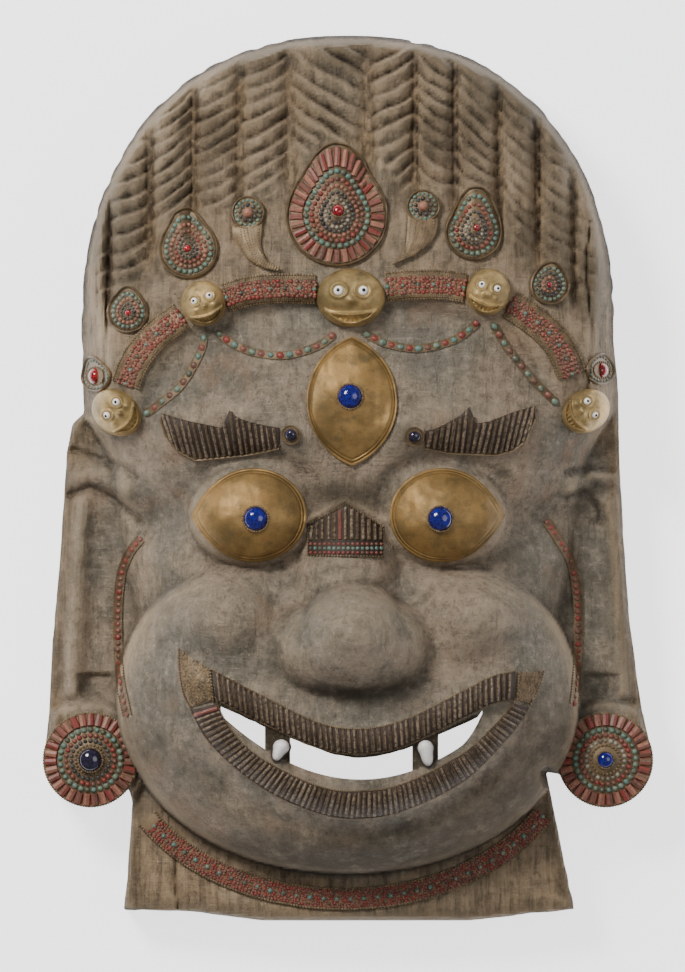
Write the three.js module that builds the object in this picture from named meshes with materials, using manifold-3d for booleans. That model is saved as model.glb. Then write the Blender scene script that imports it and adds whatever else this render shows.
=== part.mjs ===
// A wrathful three-eyed cham dance mask: one carved wooden shell with metal, coral and
// glass ornaments laid on it. Millimetres. The mask lies on its back rim: +X runs across
// the face, +Y from the neck to the top of the hair, +Z out of the face.

import * as THREE from 'three';
import { mergeVertices } from 'three/addons/utils/BufferGeometryUtils.js';
import Module from 'manifold-3d';

const wasm = await Module();
wasm.setup();

// ---- driving sizes ----------------------------------------------------------------

const TOP = 311.5;                  // top of the hair
const BOTTOM = -311.5;              // cut edge of the neck
const HAIR = { y: 100, halfWidth: 188, power: 2.3 };
const DISC = { x: 181, y: -198, radius: 33.5 };
const MOUTH_X = 9;                  // the grin hangs a little to the right
const JAW_Y = -165;                 // level of the widest part of the jaw
const EYE = { x: 67, y: -26 };
const NECK_FRONT = 46;              // height of the neck's front in the middle
const WALL = 26;                    // thickness of the wooden shell
const SIDE_WALL = 30;               // height of the upright edge all round
const CAVITY = { y: 14, halfWidth: 150, halfHeight: 262 };
const GAP = 0.6;                    // left between two pieces that touch
const CELL = 8;                     // grid that the wood is carved on
const THIN = 2.6;                   // how far thinning may move the wood
const TRIM = 0.3;                   // how far a thinned-out surface may move
const LOCK_RISE = 9;                // how far a lock of hair stands out of its valleys
const EYE_SECTORS = 20;
const LOCK_EDGES = [-192, -168, -139, -108, -76, -41, 15, 47, 75, 106, 133, 158, 190];

// ---- small formulas ---------------------------------------------------------------

const { abs, sign, min, max, sqrt, hypot, sin, cos, PI } = Math;
const { degToRad, clamp } = THREE.MathUtils;
const root = (value, power = 0.5) => sign(value) * abs(value) ** power;
const bump = (value, width) => Math.exp(-((value / width) ** 2));

function ramp(value, from, to) {
  const t = clamp((value - from) / (to - from), 0, 1);
  return t * t * (3 - 2 * t);
}

function smoothMax(a, b, blend) {
  return max(a, b) + max(blend - abs(a - b), 0) ** 2 / (4 * blend);
}

const smoothMin = (a, b, blend) => -smoothMax(-a, -b, blend);

function lineDistance(x, y, points) {
  let best = Infinity;
  for (let i = 0; i + 1 < points.length; i += 1) {
    const [ax, ay] = points[i];
    const ex = points[i + 1][0] - ax;
    const ey = points[i + 1][1] - ay;
    const t = clamp(((x - ax) * ex + (y - ay) * ey) / (ex * ex + ey * ey), 0, 1);
    best = min(best, hypot(x - ax - t * ex, y - ay - t * ey));
  }
  return best;
}

// ---- outline of the wood ----------------------------------------------------------

function hairArc(from, to, steps) {
  return Array.from({ length: steps + 1 }, (_, i) => {
    const angle = from + ((to - from) * i) / steps;
    const bend = 2 / HAIR.power;
    return [
      HAIR.halfWidth * root(cos(angle), bend),
      HAIR.y + (TOP - HAIR.y) * root(sin(angle), bend),
    ];
  });
}

function discArc(side, from, to, steps) {
  return Array.from({ length: steps + 1 }, (_, i) => {
    const angle = degToRad(from + ((to - from) * i) / steps);
    return [side * DISC.x + DISC.radius * cos(angle), DISC.y + DISC.radius * sin(angle)];
  });
}

const OUTLINE = [
  ...hairArc(PI / 2, 0, 13),
  [190.5, 60], [191, 20], [194, -40], [198, -95], [204, -144], [209, -172],
  ...discArc(1, 20, -162, 11),
  [139.5, -207], [146, -238], [152, -268], [160, -304],
  [128, -307], [85, BOTTOM], [-60, BOTTOM], [-104, -306], [-158, -304],
  [-155.5, -281], [-152, -228],
  ...discArc(-1, -38, -198, 10),
  [-210.5, -166], [-208, -113], [-203, -60], [-200, -10], [-198, 18], [-194, 38], [-186, 46],
  ...hairArc(PI, PI / 2, 13).slice(0, -1),
];
const CLOSED_OUTLINE = [...OUTLINE, OUTLINE[0]];

function edgeDistance(x, y) {
  let inside = false;
  for (let i = 0; i < OUTLINE.length; i += 1) {
    const [ax, ay] = CLOSED_OUTLINE[i];
    const [bx, by] = CLOSED_OUTLINE[i + 1];
    if ((ay > y) !== (by > y) && x < ax + ((y - ay) / (by - ay)) * (bx - ax)) {
      inside = !inside;
    }
  }
  return inside ? lineDistance(x, y, CLOSED_OUTLINE) : 0;
}

// ---- carved surface: height of the front at any place ------------------------------

function headHeight(x, y) {
  const half = 163 + 48 * ramp(y, -10, 100);
  const tall = y > 20 ? 322 : 262;
  return 34 + 78 * root(1 - (abs(x) / half) ** 2.5 - ((y - 20) / tall) ** 2);
}

function muzzleHeight(x, y) {
  const low = ramp(-y, 150, 215);
  const tall = y > JAW_Y ? 119 : 113;
  const across = (abs(x) / (163 - 5 * low)) ** (2.6 - 0.5 * low);
  const along = (abs(y - JAW_Y) / tall) ** (2.3 - 0.3 * low);
  return 50 + 82 * root(1 - across - along);
}

function brow(x, y, z) {
  const along = abs(x);
  const crownX = (along / 160) ** 2.8;
  const crownY = (max(y - 10, 0) / 124) ** 2.8;
  const crown = (crownX + crownY) ** (1 / 2.8);
  const arch = 27 + 14 * sin(clamp((along - 20) / 120, 0, 1) * PI);
  const hairStep = 9 * ramp(crown, 0.86, 0.97) * ramp(y, 20, 60);
  const forehead = 7 * bump(x, 95) * bump(y - 55, 42);
  const ridge = 11 * bump(y - arch, 20) * ramp(along, 8, 40) * (1 - ramp(along, 120, 160));
  return z + hairStep + forehead + ridge;
}

function eyeball(x, y, z) {
  const across = abs(x);
  const e = hypot((across - EYE.x) / 42, (y - EYE.y) / 34);
  const ball = 96 + 26 * root(1 - (e / 1.05) ** 2);
  const socket = 5 * bump(e - 1.18, 0.2) * ramp(across, 12, 30);
  const corner = 15 * bump(hypot((across - 136) / 22, (y + 30) / 18), 1);
  return smoothMax(z - socket, ball, 14) - corner;
}

const CHEEK_FOLD = [
  [48, -84], [56, -104], [66, -122], [78, -130], [92, -129], [108, -121], [126, -116],
];

function muzzle(x, y, z) {
  const across = abs(x);
  const cheek = 30 * Math.exp(-(((across - 100) / 46) ** 2) - ((y + 86) / 38) ** 2);
  const swell = smoothMax(z, muzzleHeight(x, y) + cheek, 6);
  return swell - 5 * bump(lineDistance(across, y, CHEEK_FOLD), 13);
}

const upperLipY = (x) => -183 + 0.5 * (hypot(x - MOUTH_X, 30) - 30);
const lowerLipY = (x) => -226 + 0.005 * (x - MOUTH_X) ** 2;

function lips(x, y, z) {
  const across = abs(x);
  const upper = 6 * bump(y - upperLipY(x), 13) * (1 - ramp(across, 100, 125));
  const lower = 7 * bump(y - lowerLipY(x), 14) * (1 - ramp(across, 100, 130));
  const groove = 5 * bump(y + 248 - 0.0042 * x * x, 9) * (1 - ramp(across, 90, 125));
  const chin = 5 * bump(x, 60) * bump(y + 262, 16);
  return z + upper + lower - groove + chin;
}

function nose(x, y, z) {
  const bridge = 92 + 44 * root(1 - (x / 30) ** 2 - ((y + 72) / 50) ** 2, 0.6);
  const wings = 92 + 74 * root(1 - (abs(x - 4) / 57) ** 2.5 - (abs(y + 119) / 37) ** 2.2, 0.5);
  const bulb = 96 + 88 * root(1 - (abs(x - 4) / 37) ** 2.2 - (abs(y + 108) / 36) ** 2.2, 0.5);
  return smoothMax(smoothMax(smoothMax(z, bridge, 20), wings, 14), bulb, 26);
}

function hair(x, y, z) {
  const shown = ramp(y - 204 + 0.003 * x * x, -30, 30);
  const lock = LOCK_EDGES.findIndex((edge, i) => x >= edge && x < LOCK_EDGES[i + 1]);
  if (lock < 0 || shown === 0) return z;
  const t = (x - LOCK_EDGES[lock]) / (LOCK_EDGES[lock + 1] - LOCK_EDGES[lock]);
  const side = min(1, abs(2 * t - 1) / 0.88);
  return z + shown * (LOCK_RISE * (1 - side ** 3) - 8);
}

const EAR_ARCH = [[190, 0], [172, 2], [156, -8]];
const EAR_HELIX = [[186, -18], [191, -60], [193, -150]];
const EAR_GROOVES = [
  [[-193, 20], [-178, 14], [-157, 7], [-148, 0]],
  [[-196, -12], [-181, -6], [-162, -17], [-145, -31]],
  [[154, 4], [170, 7], [186, 5]],
  [[152, -14], [166, -10], [176, -20], [179, -31]],
];

function ear(x, y, z) {
  const across = abs(x);
  if (across < 130 || y > 40) return z;
  const arch = 10 * bump(lineDistance(across, y, EAR_ARCH), 8) * ramp(across, 138, 160);
  const helix = 10 * bump(lineDistance(across, y, EAR_HELIX), 8);
  const shellX = ramp(across, 160, 166) * (1 - ramp(across, 178, 187));
  const shell = 3 * shellX * ramp(-y, 22, 34) * (1 - ramp(-y, 110, 120));
  const notchX = ramp(across, 164, 168) * (1 - ramp(across, 186, 194));
  const notch = 5 * notchX * ramp(-y, 136, 140) * (1 - ramp(-y, 149, 156));
  const grooves = EAR_GROOVES
    .reduce((sum, line) => sum + 5 * bump(lineDistance(x, y, line), 2.6), 0);
  const lobe = 46 - 40 * ramp(hypot(across - DISC.x, y - DISC.y), 37, 56);
  return smoothMax(z + arch + helix - shell - notch - grooves, lobe, 6);
}

function relief(x, y) {
  let z = smoothMax(NECK_FRONT - 14 * (x / 210) ** 2, headHeight(x, y), 12);
  z = brow(x, y, z);
  z = eyeball(x, y, z);
  z = muzzle(x, y, z);
  z = lips(x, y, z);
  z = nose(x, y, z);
  z = hair(x, y, z);
  z = ear(x, y, z);
  const inside = edgeDistance(x, y);
  const notchSteep = 5 * ramp(-y, 165, 192) * (1 - ramp(abs(x), 150, 160));
  const slope = 3 + 3 * ramp(y, 90, 200) + notchSteep;
  const rim = SIDE_WALL + slope * inside + 5 * sqrt(clamp(inside / 6, 0, 1));
  return smoothMin(z, rim, 10);
}

function cavityHeight(x, y) {
  const core = max(headHeight(x, y), muzzleHeight(x, y), NECK_FRONT) - WALL;
  const out = (abs(x) / CAVITY.halfWidth) ** 2.4 + (abs(y - CAVITY.y) / CAVITY.halfHeight) ** 2.4;
  return max(min(core, 400 * (1 - out)), -10);
}

// ---- solids -----------------------------------------------------------------------

function toSolid(geometry) {
  const bare = geometry.index ? geometry.clone() : geometry;
  bare.deleteAttribute('normal');
  bare.deleteAttribute('uv');
  const merged = mergeVertices(bare, 1e-4);
  return new wasm.Manifold(new wasm.Mesh({
    numProp: 3,
    vertProperties: new Float32Array(merged.attributes.position.array),
    triVerts: new Uint32Array(merged.index.array),
  }));
}

function toGeometry(solid) {
  const mesh = solid.getMesh();
  const geometry = new THREE.BufferGeometry();
  geometry.setAttribute('position', new THREE.BufferAttribute(new Float32Array(mesh.vertProperties), 3));
  geometry.setIndex(new THREE.BufferAttribute(new Uint32Array(mesh.triVerts), 1));
  return geometry;
}

// A block with a flat underside, and a top that follows height(x, y) on an even grid.
function terrain(x0, x1, y0, y1, cell, base, height) {
  const columns = Math.round((x1 - x0) / cell);
  const rows = Math.round((y1 - y0) / cell);
  const box = new THREE.BoxGeometry(x1 - x0, y1 - y0, 1, columns, rows, 1);
  const place = box.attributes.position;
  for (let i = 0; i < place.count; i += 1) {
    const x = place.getX(i) + (x0 + x1) / 2;
    const y = place.getY(i) + (y0 + y1) / 2;
    place.setXYZ(i, x, y, place.getZ(i) > 0 ? height(x, y) : base);
  }
  return toSolid(box);
}

function prism(points, z0, z1) {
  const shape = new THREE.Shape(points.map(([x, y]) => new THREE.Vector2(x, y)));
  const block = new THREE.ExtrudeGeometry(shape, { depth: z1 - z0, bevelEnabled: false });
  block.translate(0, 0, z0);
  return toSolid(block);
}

// The same solid with fewer triangles, rebuilt so that later cuts are exact again.
function thinned(solid, tolerance) {
  return toSolid(toGeometry(largest(solid.simplify(tolerance))));
}

const lift = (solid) => solid.translate(0, 0, GAP);

function largest(solid) {
  const pieces = solid.decompose();
  const best = pieces.reduce((chosen, piece) => (piece.volume() > chosen.volume() ? piece : chosen));
  pieces.filter((piece) => piece !== best).forEach((piece) => piece.delete());
  solid.delete();
  return best;
}

// ---- the carved mask --------------------------------------------------------------

const openingTop = (x) => -195.5 + 0.5 * (hypot(x - MOUTH_X, 30) - 30);
const openingBottom = (x) => -211 + 0.0047 * (x - MOUTH_X) ** 2 + 12 * (max(0, x - 78) / 16) ** 2;

// The mouth is open in three places, with a post of wood left behind each fang.
const MOUTH_GAPS = [[-89, -58], [-40.5, 45], [63, 94]];

function mouthGap([x0, x1]) {
  const steps = max(4, Math.round((x1 - x0) / 9));
  const along = Array.from({ length: steps + 1 }, (_, i) => x0 + ((x1 - x0) * i) / steps);
  const lower = along.map((x) => [x, openingBottom(x)]);
  const upper = along.map((x) => [x, max(openingTop(x), openingBottom(x) + 3)]);
  return prism([...lower, ...upper.reverse()], -20, 260);
}

function carvedMask() {
  const block = terrain(-216, 216, -315, 315, CELL, 0, relief);
  const shell = block.intersect(prism(OUTLINE, -1, 260));
  const hollow = terrain(-168, 168, -266, 294, 14, -20, cavityHeight);
  const cut = wasm.Manifold.difference([shell, hollow, ...MOUTH_GAPS.map(mouthGap)]);
  return thinned(cut, THIN);
}

const wood = carvedMask();
const liftedWood = lift(wood);

// Heights of the finished wood are read from its own triangles, so that pieces lie on it.
const woodTriangles = (() => {
  const { vertProperties, triVerts } = wood.getMesh();
  const corner = (i) => Array.from(vertProperties.slice(3 * i, 3 * i + 3));
  return Array.from({ length: triVerts.length / 3 }, (_, i) => {
    const [a, b, c] = [0, 1, 2].map((j) => corner(triVerts[3 * i + j]));
    const area = (b[0] - a[0]) * (c[1] - a[1]) - (c[0] - a[0]) * (b[1] - a[1]);
    return { a, b, c, area };
  }).filter(({ area }) => area > 1e-6);
})();

function ground(x, y) {
  let top = SIDE_WALL;
  woodTriangles.forEach(({ a, b, c, area }) => {
    const u = ((b[0] - x) * (c[1] - y) - (c[0] - x) * (b[1] - y)) / area;
    const v = ((c[0] - x) * (a[1] - y) - (a[0] - x) * (c[1] - y)) / area;
    if (u >= 0 && v >= 0 && u + v <= 1) top = max(top, u * a[2] + v * b[2] + (1 - u - v) * c[2]);
  });
  return top;
}

// ---- builders for the ornaments ----------------------------------------------------

// A closed solid over a ladder of rungs. Each rung goes from a to b, and its top lies
// height above the wood at both ends and, if it has a crown, more than that in the middle.
function ladder(rungs, height, crown = 0) {
  const across = crown > 0 ? [0, 0.5, 1] : [0, 1];
  const top = rungs.map(([a, b]) => across.map((t) => {
    const x = a[0] + (b[0] - a[0]) * t;
    const y = a[1] + (b[1] - a[1]) * t;
    return [x, y, ground(x, y) + height + (t === 0.5 ? crown : 0)];
  }));
  const base = min(...top.flat().map((point) => point[2])) - height - 3;
  const rings = top.map((rung) => {
    const [x0, y0] = rung[0];
    const [x1, y1] = rung.at(-1);
    return [...rung, [x1, y1, base], [x0, y0, base]];
  });
  return toSolid(loft(rings));
}

// Joins equal closed rings one after another and caps both ends.
function loft(rings) {
  const count = rings[0].length;
  const index = [];
  for (let i = 0; i + 1 < rings.length; i += 1) {
    for (let j = 0; j < count; j += 1) {
      const a = i * count + j;
      const b = i * count + ((j + 1) % count);
      index.push(a, b, a + count, b, b + count, a + count);
    }
  }
  const last = (rings.length - 1) * count;
  for (let j = 1; j + 1 < count; j += 1) {
    index.push(0, j + 1, j, last, last + j, last + j + 1);
  }
  const geometry = new THREE.BufferGeometry();
  geometry.setAttribute('position', new THREE.Float32BufferAttribute(rings.flat(2), 3));
  geometry.setIndex(index);
  return geometry;
}

// A solid on a polar grid. radius(angle) is its outline; rings lists [share of the
// radius, height]; surface(x, y) is what it lies on.
function boss(x0, y0, radius, rings, sectors, surface, base) {
  const angles = Array.from({ length: sectors }, (_, j) => (2 * PI * j) / sectors + PI / 2);
  const levels = [...rings].reverse().map(([share, height]) => angles.map((angle) => {
    const r = radius(angle) * share;
    const x = x0 + r * cos(angle);
    const y = y0 + r * sin(angle);
    return [x, y, surface(x, y) + height];
  }));
  const low = base ?? min(...levels[0].map((point) => point[2])) - rings.at(-1)[1] - 3;
  const rim = levels[0].map(([x, y]) => [x, y, low]);
  return toSolid(loft([rim, ...levels]));
}

function smoothLine(points, steps) {
  const curve = new THREE.CatmullRomCurve3(points.map(([x, y]) => new THREE.Vector3(x, y, 0)));
  return curve.getSpacedPoints(steps).map((p, i) => {
    const tangent = curve.getTangentAt(i / steps);
    return { x: p.x, y: p.y, nx: -tangent.y, ny: tangent.x };
  });
}

// Rungs of equal width along a smooth line. The left side of the line comes last.
function ribbon(points, width, steps) {
  return smoothLine(points, steps).map(({ x, y, nx, ny }) => [
    [x + (nx * width) / 2, y + (ny * width) / 2],
    [x - (nx * width) / 2, y - (ny * width) / 2],
  ]);
}

// ---- materials --------------------------------------------------------------------

function finish(color, roughness, metalness) {
  return new THREE.MeshStandardMaterial({ color, roughness, metalness });
}

const MATERIALS = {
  wood: finish('#8a8073', 0.75, 0),
  brass: finish('#9a7a45', 0.45, 0.85),
  coral: finish('#a8442f', 0.5, 0),
  inlay: finish('#5f4636', 0.4, 0.1),
  mosaic: finish('#a9a488', 0.5, 0.1),
  glass: finish('#1c3f9c', 0.15, 0),
  fang: finish('#e9e6dc', 0.35, 0),
};

const mask = new THREE.Group();

function addPiece(name, solid, material) {
  const piece = new THREE.Mesh(toGeometry(solid), MATERIALS[material]);
  piece.name = name;
  mask.add(piece);
}

// Lays a piece on what carries it, cut back from the columns that its neighbours stand in.
function lay(name, solid, material, columns = [], carrier = liftedWood) {
  const cut = wasm.Manifold.difference([solid, carrier, ...columns]);
  const thin = thinned(cut, TRIM);
  const fitted = thin.intersect(wood).isEmpty() ? thin : thinned(cut, 0);
  solid.delete();
  cut.delete();
  addPiece(name, fitted, material);
  return fitted;
}

// The column of space over the outline of a boss, with the gap around it.
function column(x0, y0, radius, sectors) {
  const rim = Array.from({ length: sectors }, (_, j) => {
    const angle = (2 * PI * j) / sectors + PI / 2;
    const r = (radius(angle) + GAP) / cos(PI / sectors);
    return [x0 + r * cos(angle), y0 + r * sin(angle)];
  });
  return prism(rim, -5, 260);
}

addPiece('carved_mask', wood, 'wood');

// ---- eyes -------------------------------------------------------------------------

const DOME = [[0.15, 7], [0.6, 6.2], [1, 2.6]];
const CABOCHON = [[0.35, 4.4], [0.8, 3.2], [1, 1.2]];
const round = (radius) => () => radius;
const oval = (rx, ry, turn = 0) => (angle) => {
  const a = angle - turn;
  return 1 / hypot(cos(a) / rx, sin(a) / ry);
};

// An oval drawn out to a soft point towards the angle tip.
const drop = (rx, ry, tip, reach, sharp = 7) => (angle) => {
  const away = (1 + cos(angle - tip)) / 2;
  return oval(rx, ry)(angle) + reach * away ** (sharp * 2);
};

// A glass stone with a flat seat, standing on a metal plate.
function setStone(name, x, y, radius, seat, plate) {
  const carrier = lift(plate);
  lay(name, boss(x, y, round(radius), CABOCHON, 10, () => seat, seat - 3), 'glass', [], carrier);
  carrier.delete();
}

// An oval with a crisp outer corner, level with its middle.
const eyeOutline = (side) => (angle) => {
  const away = Math.acos(clamp(side * cos(angle), -1, 1));
  return oval(37, 33)(angle) + 7 * max(0, 1 - away / 0.75) ** 2;
};

function eye(side, name) {
  const solid = boss(side * 66, EYE.y, eyeOutline(side), DOME, EYE_SECTORS, ground);
  const plate = lay(`${name}_eye_plate`, solid, 'brass');
  const stoneX = side * 64.5;
  const stoneY = -28.5;
  setStone(`${name}_eye_stone`, stoneX, stoneY, 8.4, ground(stoneX, stoneY) + 6.6, plate);
}

eye(-1, 'left');
eye(1, 'right');

// The third eye stands upright: two long arcs that meet in a point above and below.
function vesica(halfWidth, halfHeight) {
  const arc = (halfWidth ** 2 + halfHeight ** 2) / (2 * halfWidth);
  const shift = arc - halfWidth;
  return (angle) => sqrt(arc ** 2 - (shift * sin(angle)) ** 2) - shift * abs(cos(angle));
}

const thirdOutline = vesica(31.5, 45.5);
const thirdPlate = lay(
  'third_eye_plate',
  boss(2.8, 53.8, thirdOutline, DOME, EYE_SECTORS, ground),
  'brass',
);
setStone('third_eye_stone', 1.4, 57, 8.4, ground(1.4, 57) + 6.8, thirdPlate);

// ---- crown: skulls, bands, swags, jewels and hooks ----------------------------------

const SKULL = [[0.3, 15], [0.76, 11], [1, 2.5]];
const SKULLS = [
  { x: -162, y: 46, rx: 15.5, ry: 18.7, turn: 0.96 },
  { x: -101, y: 122, rx: 15.5, ry: 16, turn: 0.35 },
  { x: 2, y: 126, rx: 24, ry: 20.6, turn: 0 },
  { x: 98, y: 130, rx: 15.5, ry: 16.5, turn: -0.26 },
  { x: 166.6, y: 47, rx: 15, ry: 17.7, turn: -1.05 },
];
const skullColumns = SKULLS.map(({ x, y, rx, ry, turn }, i) => {
  lay(`crown_skull_${i + 1}`, boss(x, y, oval(rx, ry, turn), SKULL, 12, ground), 'brass');
  return column(x, y, oval(rx, ry, turn), 12);
});

const CROWN_BANDS = [
  [[-155.5, 66], [-150, 80], [-142, 92], [-131, 103], [-117, 113]],
  [[-85, 126], [-70, 130.5], [-50, 132.5], [-23.5, 132]],
  [[27.5, 133.5], [45, 135], [65, 135], [81, 133]],
  [[114.5, 121], [128, 112], [141, 101], [150.5, 88], [156.5, 73]],
];
CROWN_BANDS.forEach((line, i) => {
  lay(`crown_band_${i + 1}`, ladder(ribbon(line, 21, 6), 3.4, 0.8), 'mosaic', skullColumns);
});

const SWAGS = [
  ['left_inner', [[-90, 101], [-80, 93.5], [-64, 87.5], [-43, 86], [-22, 92], [-11, 99.5]]],
  ['right_inner', [[13, 100.5], [27, 94], [48, 90.5], [70, 95], [82, 101.5], [89.5, 108]]],
  ['left_outer', [[-101, 98], [-103.5, 88], [-116, 66], [-134, 50.5], [-141, 45.5]]],
  ['right_outer', [[102.5, 106], [111, 92], [126, 73], [135, 63], [145, 53.5]]],
];
SWAGS.forEach(([place, line]) => {
  lay(`${place}_swag`, ladder(ribbon(line, 5.6, 7), 2.8), 'mosaic', skullColumns);
});

const JEWEL = [[0.16, 13], [0.4, 8.4], [0.86, 4.6], [1, 3]];
const JEWELS = [
  { name: 'crown_jewel_1', x: -176.5, y: 71, radius: 10, tip: 5, lean: 0.32 },
  { name: 'crown_jewel_2', x: -154, y: 116, radius: 13.8, tip: 4, lean: 0 },
  { name: 'crown_jewel_3', x: -111.5, y: 160, radius: 20, tip: 9, lean: 0.1 },
  { name: 'crown_jewel_4', x: -7.7, y: 183.5, radius: 35, tip: 16, lean: 0 },
  { name: 'crown_jewel_5', x: 88, y: 172.5, radius: 19.6, tip: 12, lean: -0.08 },
  { name: 'crown_jewel_6', x: 141, y: 135, radius: 13.3, tip: 3, lean: -0.16 },
  { name: 'crown_jewel_7', x: 177, y: 75.6, radius: 9.6, tip: 2, lean: -0.1 },
];
JEWELS.forEach(({ name, x, y, radius, tip, lean }) => {
  const profile = JEWEL.map(([share, height]) => [share, height * clamp(radius / 26, 0.62, 1.15)]);
  const outline = drop(radius, radius, PI / 2 + lean, tip, 8);
  lay(name, boss(x, y, outline, profile, radius > 30 ? 18 : 12, ground), 'mosaic', skullColumns);
});

// A hooked ornament: a bead cluster with a comma-shaped tail below it.
function hook(name, cluster, radius, tail) {
  const body = ladder(tail, 3.2, 3);
  const beads = boss(cluster[0], cluster[1], round(radius), [[0.4, 8.5], [1, 3]], 12, ground);
  lay(name, body.add(beads), 'mosaic');
}

hook('left_hook_ornament', [-70, 185.5], 11.2, [
  [[-60, 181], [-81, 176]], [[-60.5, 172], [-80, 168]], [[-61, 163], [-76, 161]],
  [[-58, 155], [-70, 153]], [[-53, 149.5], [-60, 147]], [[-48.5, 146.8], [-49.5, 145.2]],
]);
hook('right_hook_ornament', [52.5, 190], 11.2, [
  [[62.5, 184], [42, 186]], [[62.5, 177], [41.5, 176]], [[60, 168], [41, 167]],
  [[54.5, 161], [39.5, 159]], [[47.5, 156], [36.5, 153]], [[34, 151.5], [31.5, 149.5]],
]);

// ---- eyebrows, brow stones and bridge ornament ---------------------------------------

// Height of a line that runs through the points, at x.
function through(points, x) {
  const next = clamp(points.findIndex(([px]) => px >= x), 1, points.length - 1);
  const [ax, ay] = points[next - 1];
  const [bx, by] = points[next];
  return ay + ((by - ay) * clamp(x - ax, 0, bx - ax)) / (bx - ax);
}

// Upright rungs, from left to right, between two lines.
function comb(upper, lower, stations) {
  return stations.map((x) => [[x, through(upper, x)], [x, through(lower, x)]]);
}

const RIGHT_BROW = {
  top: [
    [52, 33], [59, 33.5], [69, 38], [79, 44], [85, 50], [89, 38], [99, 39.4], [115, 46], [133, 51],
  ],
  foot: [[52, 21], [59, 20], [72, 17.5], [88, 17], [103, 16], [115, 19], [124, 26], [131, 41]],
};
const LEFT_BROW = {
  top: [[-133, 46], [-110, 39.5], [-88, 35], [-83, 47.5], [-77, 42], [-68, 39], [-57, 36.5], [-48, 35]],
  foot: [
    [-131, 40], [-128, 30], [-119, 19], [-107, 12.5], [-88, 14.5], [-72, 16], [-54, 19.5], [-48, 21],
  ],
};
const BROW_STATIONS = [50, 59, 68, 77, 84, 88.5, 99, 107, 115, 124, 131];
const leftStations = BROW_STATIONS.map((x) => -x).reverse();

const browColumn = (x, y) => [column(x, y, round(7), 10)];
const leftBrow = comb(LEFT_BROW.top, LEFT_BROW.foot, leftStations);
const rightBrow = comb(RIGHT_BROW.top, RIGHT_BROW.foot, BROW_STATIONS);
lay('left_eyebrow', ladder(leftBrow, 3, 0.6), 'inlay', browColumn(-40, 30));
lay('right_eyebrow', ladder(rightBrow, 3, 0.6), 'inlay', browColumn(46.5, 28.7));

const BROW_STONE = [[0.5, 5.6], [1, 2.4]];
lay('left_brow_stone', boss(-40, 30, round(7), BROW_STONE, 10, ground), 'glass');
lay('right_brow_stone', boss(46.5, 28.7, round(7), BROW_STONE, 10, ground), 'glass');

const BRIDGE_TOP = [[-28, -32.5], [-14, -26], [-1.4, -18], [12, -26], [24.5, -34]];
const BRIDGE_FOOT = [[-28, -54], [24.5, -55]];
const BRIDGE_STATIONS = [-28, -21, -14, -7.5, -1.4, 5, 11, 17.5, 24.5];
const bridge = ladder(comb(BRIDGE_TOP, BRIDGE_FOOT, BRIDGE_STATIONS), 3.2, 0.6);
const eyeColumns = [-1, 1].map((side) => column(side * 66, EYE.y, eyeOutline(side), EYE_SECTORS));
lay('bridge_ornament', bridge, 'inlay', eyeColumns);

// ---- mouth --------------------------------------------------------------------------

// Rungs at even steps along two smooth edges, from left to right.
function between(upperEdge, lowerEdge, steps) {
  const lower = smoothLine(lowerEdge, steps);
  return smoothLine(upperEdge, steps).map(({ x, y }, i) => [[x, y], [lower[i].x, lower[i].y]]);
}

const UPPER_BAND = {
  top: [
    [-95, -134], [-60, -152], [-20, -171], [10, -175], [40, -168.5], [80, -149], [100, -139],
    [117, -135],
  ],
  foot: [
    [-92, -154.5], [-60, -171], [-20, -188.5], [8, -192.5], [40, -187], [80, -167.5], [100, -158],
    [116, -155],
  ],
};
const LOWER_BAND = {
  top: [
    [-92, -157.5], [-80, -178], [-60, -196], [-20, -215.5], [10, -218.5], [40, -213], [80, -192.5],
    [104, -171], [116, -157.5],
  ],
  foot: [
    [-110, -162.5], [-95, -187], [-60, -216.5], [-20, -234.5], [10, -238], [40, -232], [80, -212.5],
    [112, -181.5], [127, -161],
  ],
};
lay('upper_lip_band', ladder(between(UPPER_BAND.top, UPPER_BAND.foot, 14), 3.8), 'inlay');
lay('lower_lip_band', ladder(between(LOWER_BAND.top, LOWER_BAND.foot, 16), 3.8), 'inlay');

const LIP_CORNERS = {
  left: [
    [[-96.5, -134], [-118.5, -120]],
    [[-95.3, -144], [-118, -135]],
    [[-94.6, -151], [-115, -151]],
    [[-94.4, -155.2], [-110.5, -160]],
  ],
  right: [[[137, -135.5], [119.2, -136.5]], [[133.5, -147], [118.6, -147]], [[128, -158], [118, -154.6]]],
};
Object.entries(LIP_CORNERS).forEach(([side, rungs]) => {
  lay(`${side}_lip_corner`, ladder(rungs, 3, 0.6), 'mosaic');
});

// The fangs are pear-shaped stones, points down and outwards, on the posts in the mouth.
const FANG = [[0.4, 5.6], [0.8, 4.4], [1, 2]];
const FANGS = [
  { name: 'left_fang', x: -46.8, y: -189, outline: drop(5.4, 5.6, -2.05, 4.5, 1.5) },
  { name: 'right_fang', x: 54.4, y: -190, outline: drop(5, 6.2, -1.4, 5.5, 1.5) },
];
FANGS.forEach(({ name, x, y, outline }) => {
  lay(name, boss(x, y, outline, FANG, 10, ground), 'fang');
});

// ---- cheek strips, collar and ear discs ------------------------------------------------

const CHEEK_STRIPS = {
  left: [
    [-146, -43], [-153, -52], [-159, -66], [-161.5, -85], [-162, -110], [-160, -141], [-155, -166],
  ],
  right: [[140, -31], [148, -43], [156, -57], [160.5, -76], [162, -100], [161.2, -134], [159, -158]],
};
Object.entries(CHEEK_STRIPS).forEach(([side, line]) => {
  lay(`${side}_cheek_strip`, ladder(ribbon(line, 6.6, 10), 2.8), 'coral');
});

const collarLine = Array.from({ length: 19 }, (_, i) => {
  const angle = degToRad(211 + (119 * i) / 18);
  return [-3 + 161 * cos(angle), -180 + 116 * sin(angle)];
});
lay('collar_band', ladder(ribbon(collarLine, 15, 18), 3.4), 'mosaic');

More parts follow.
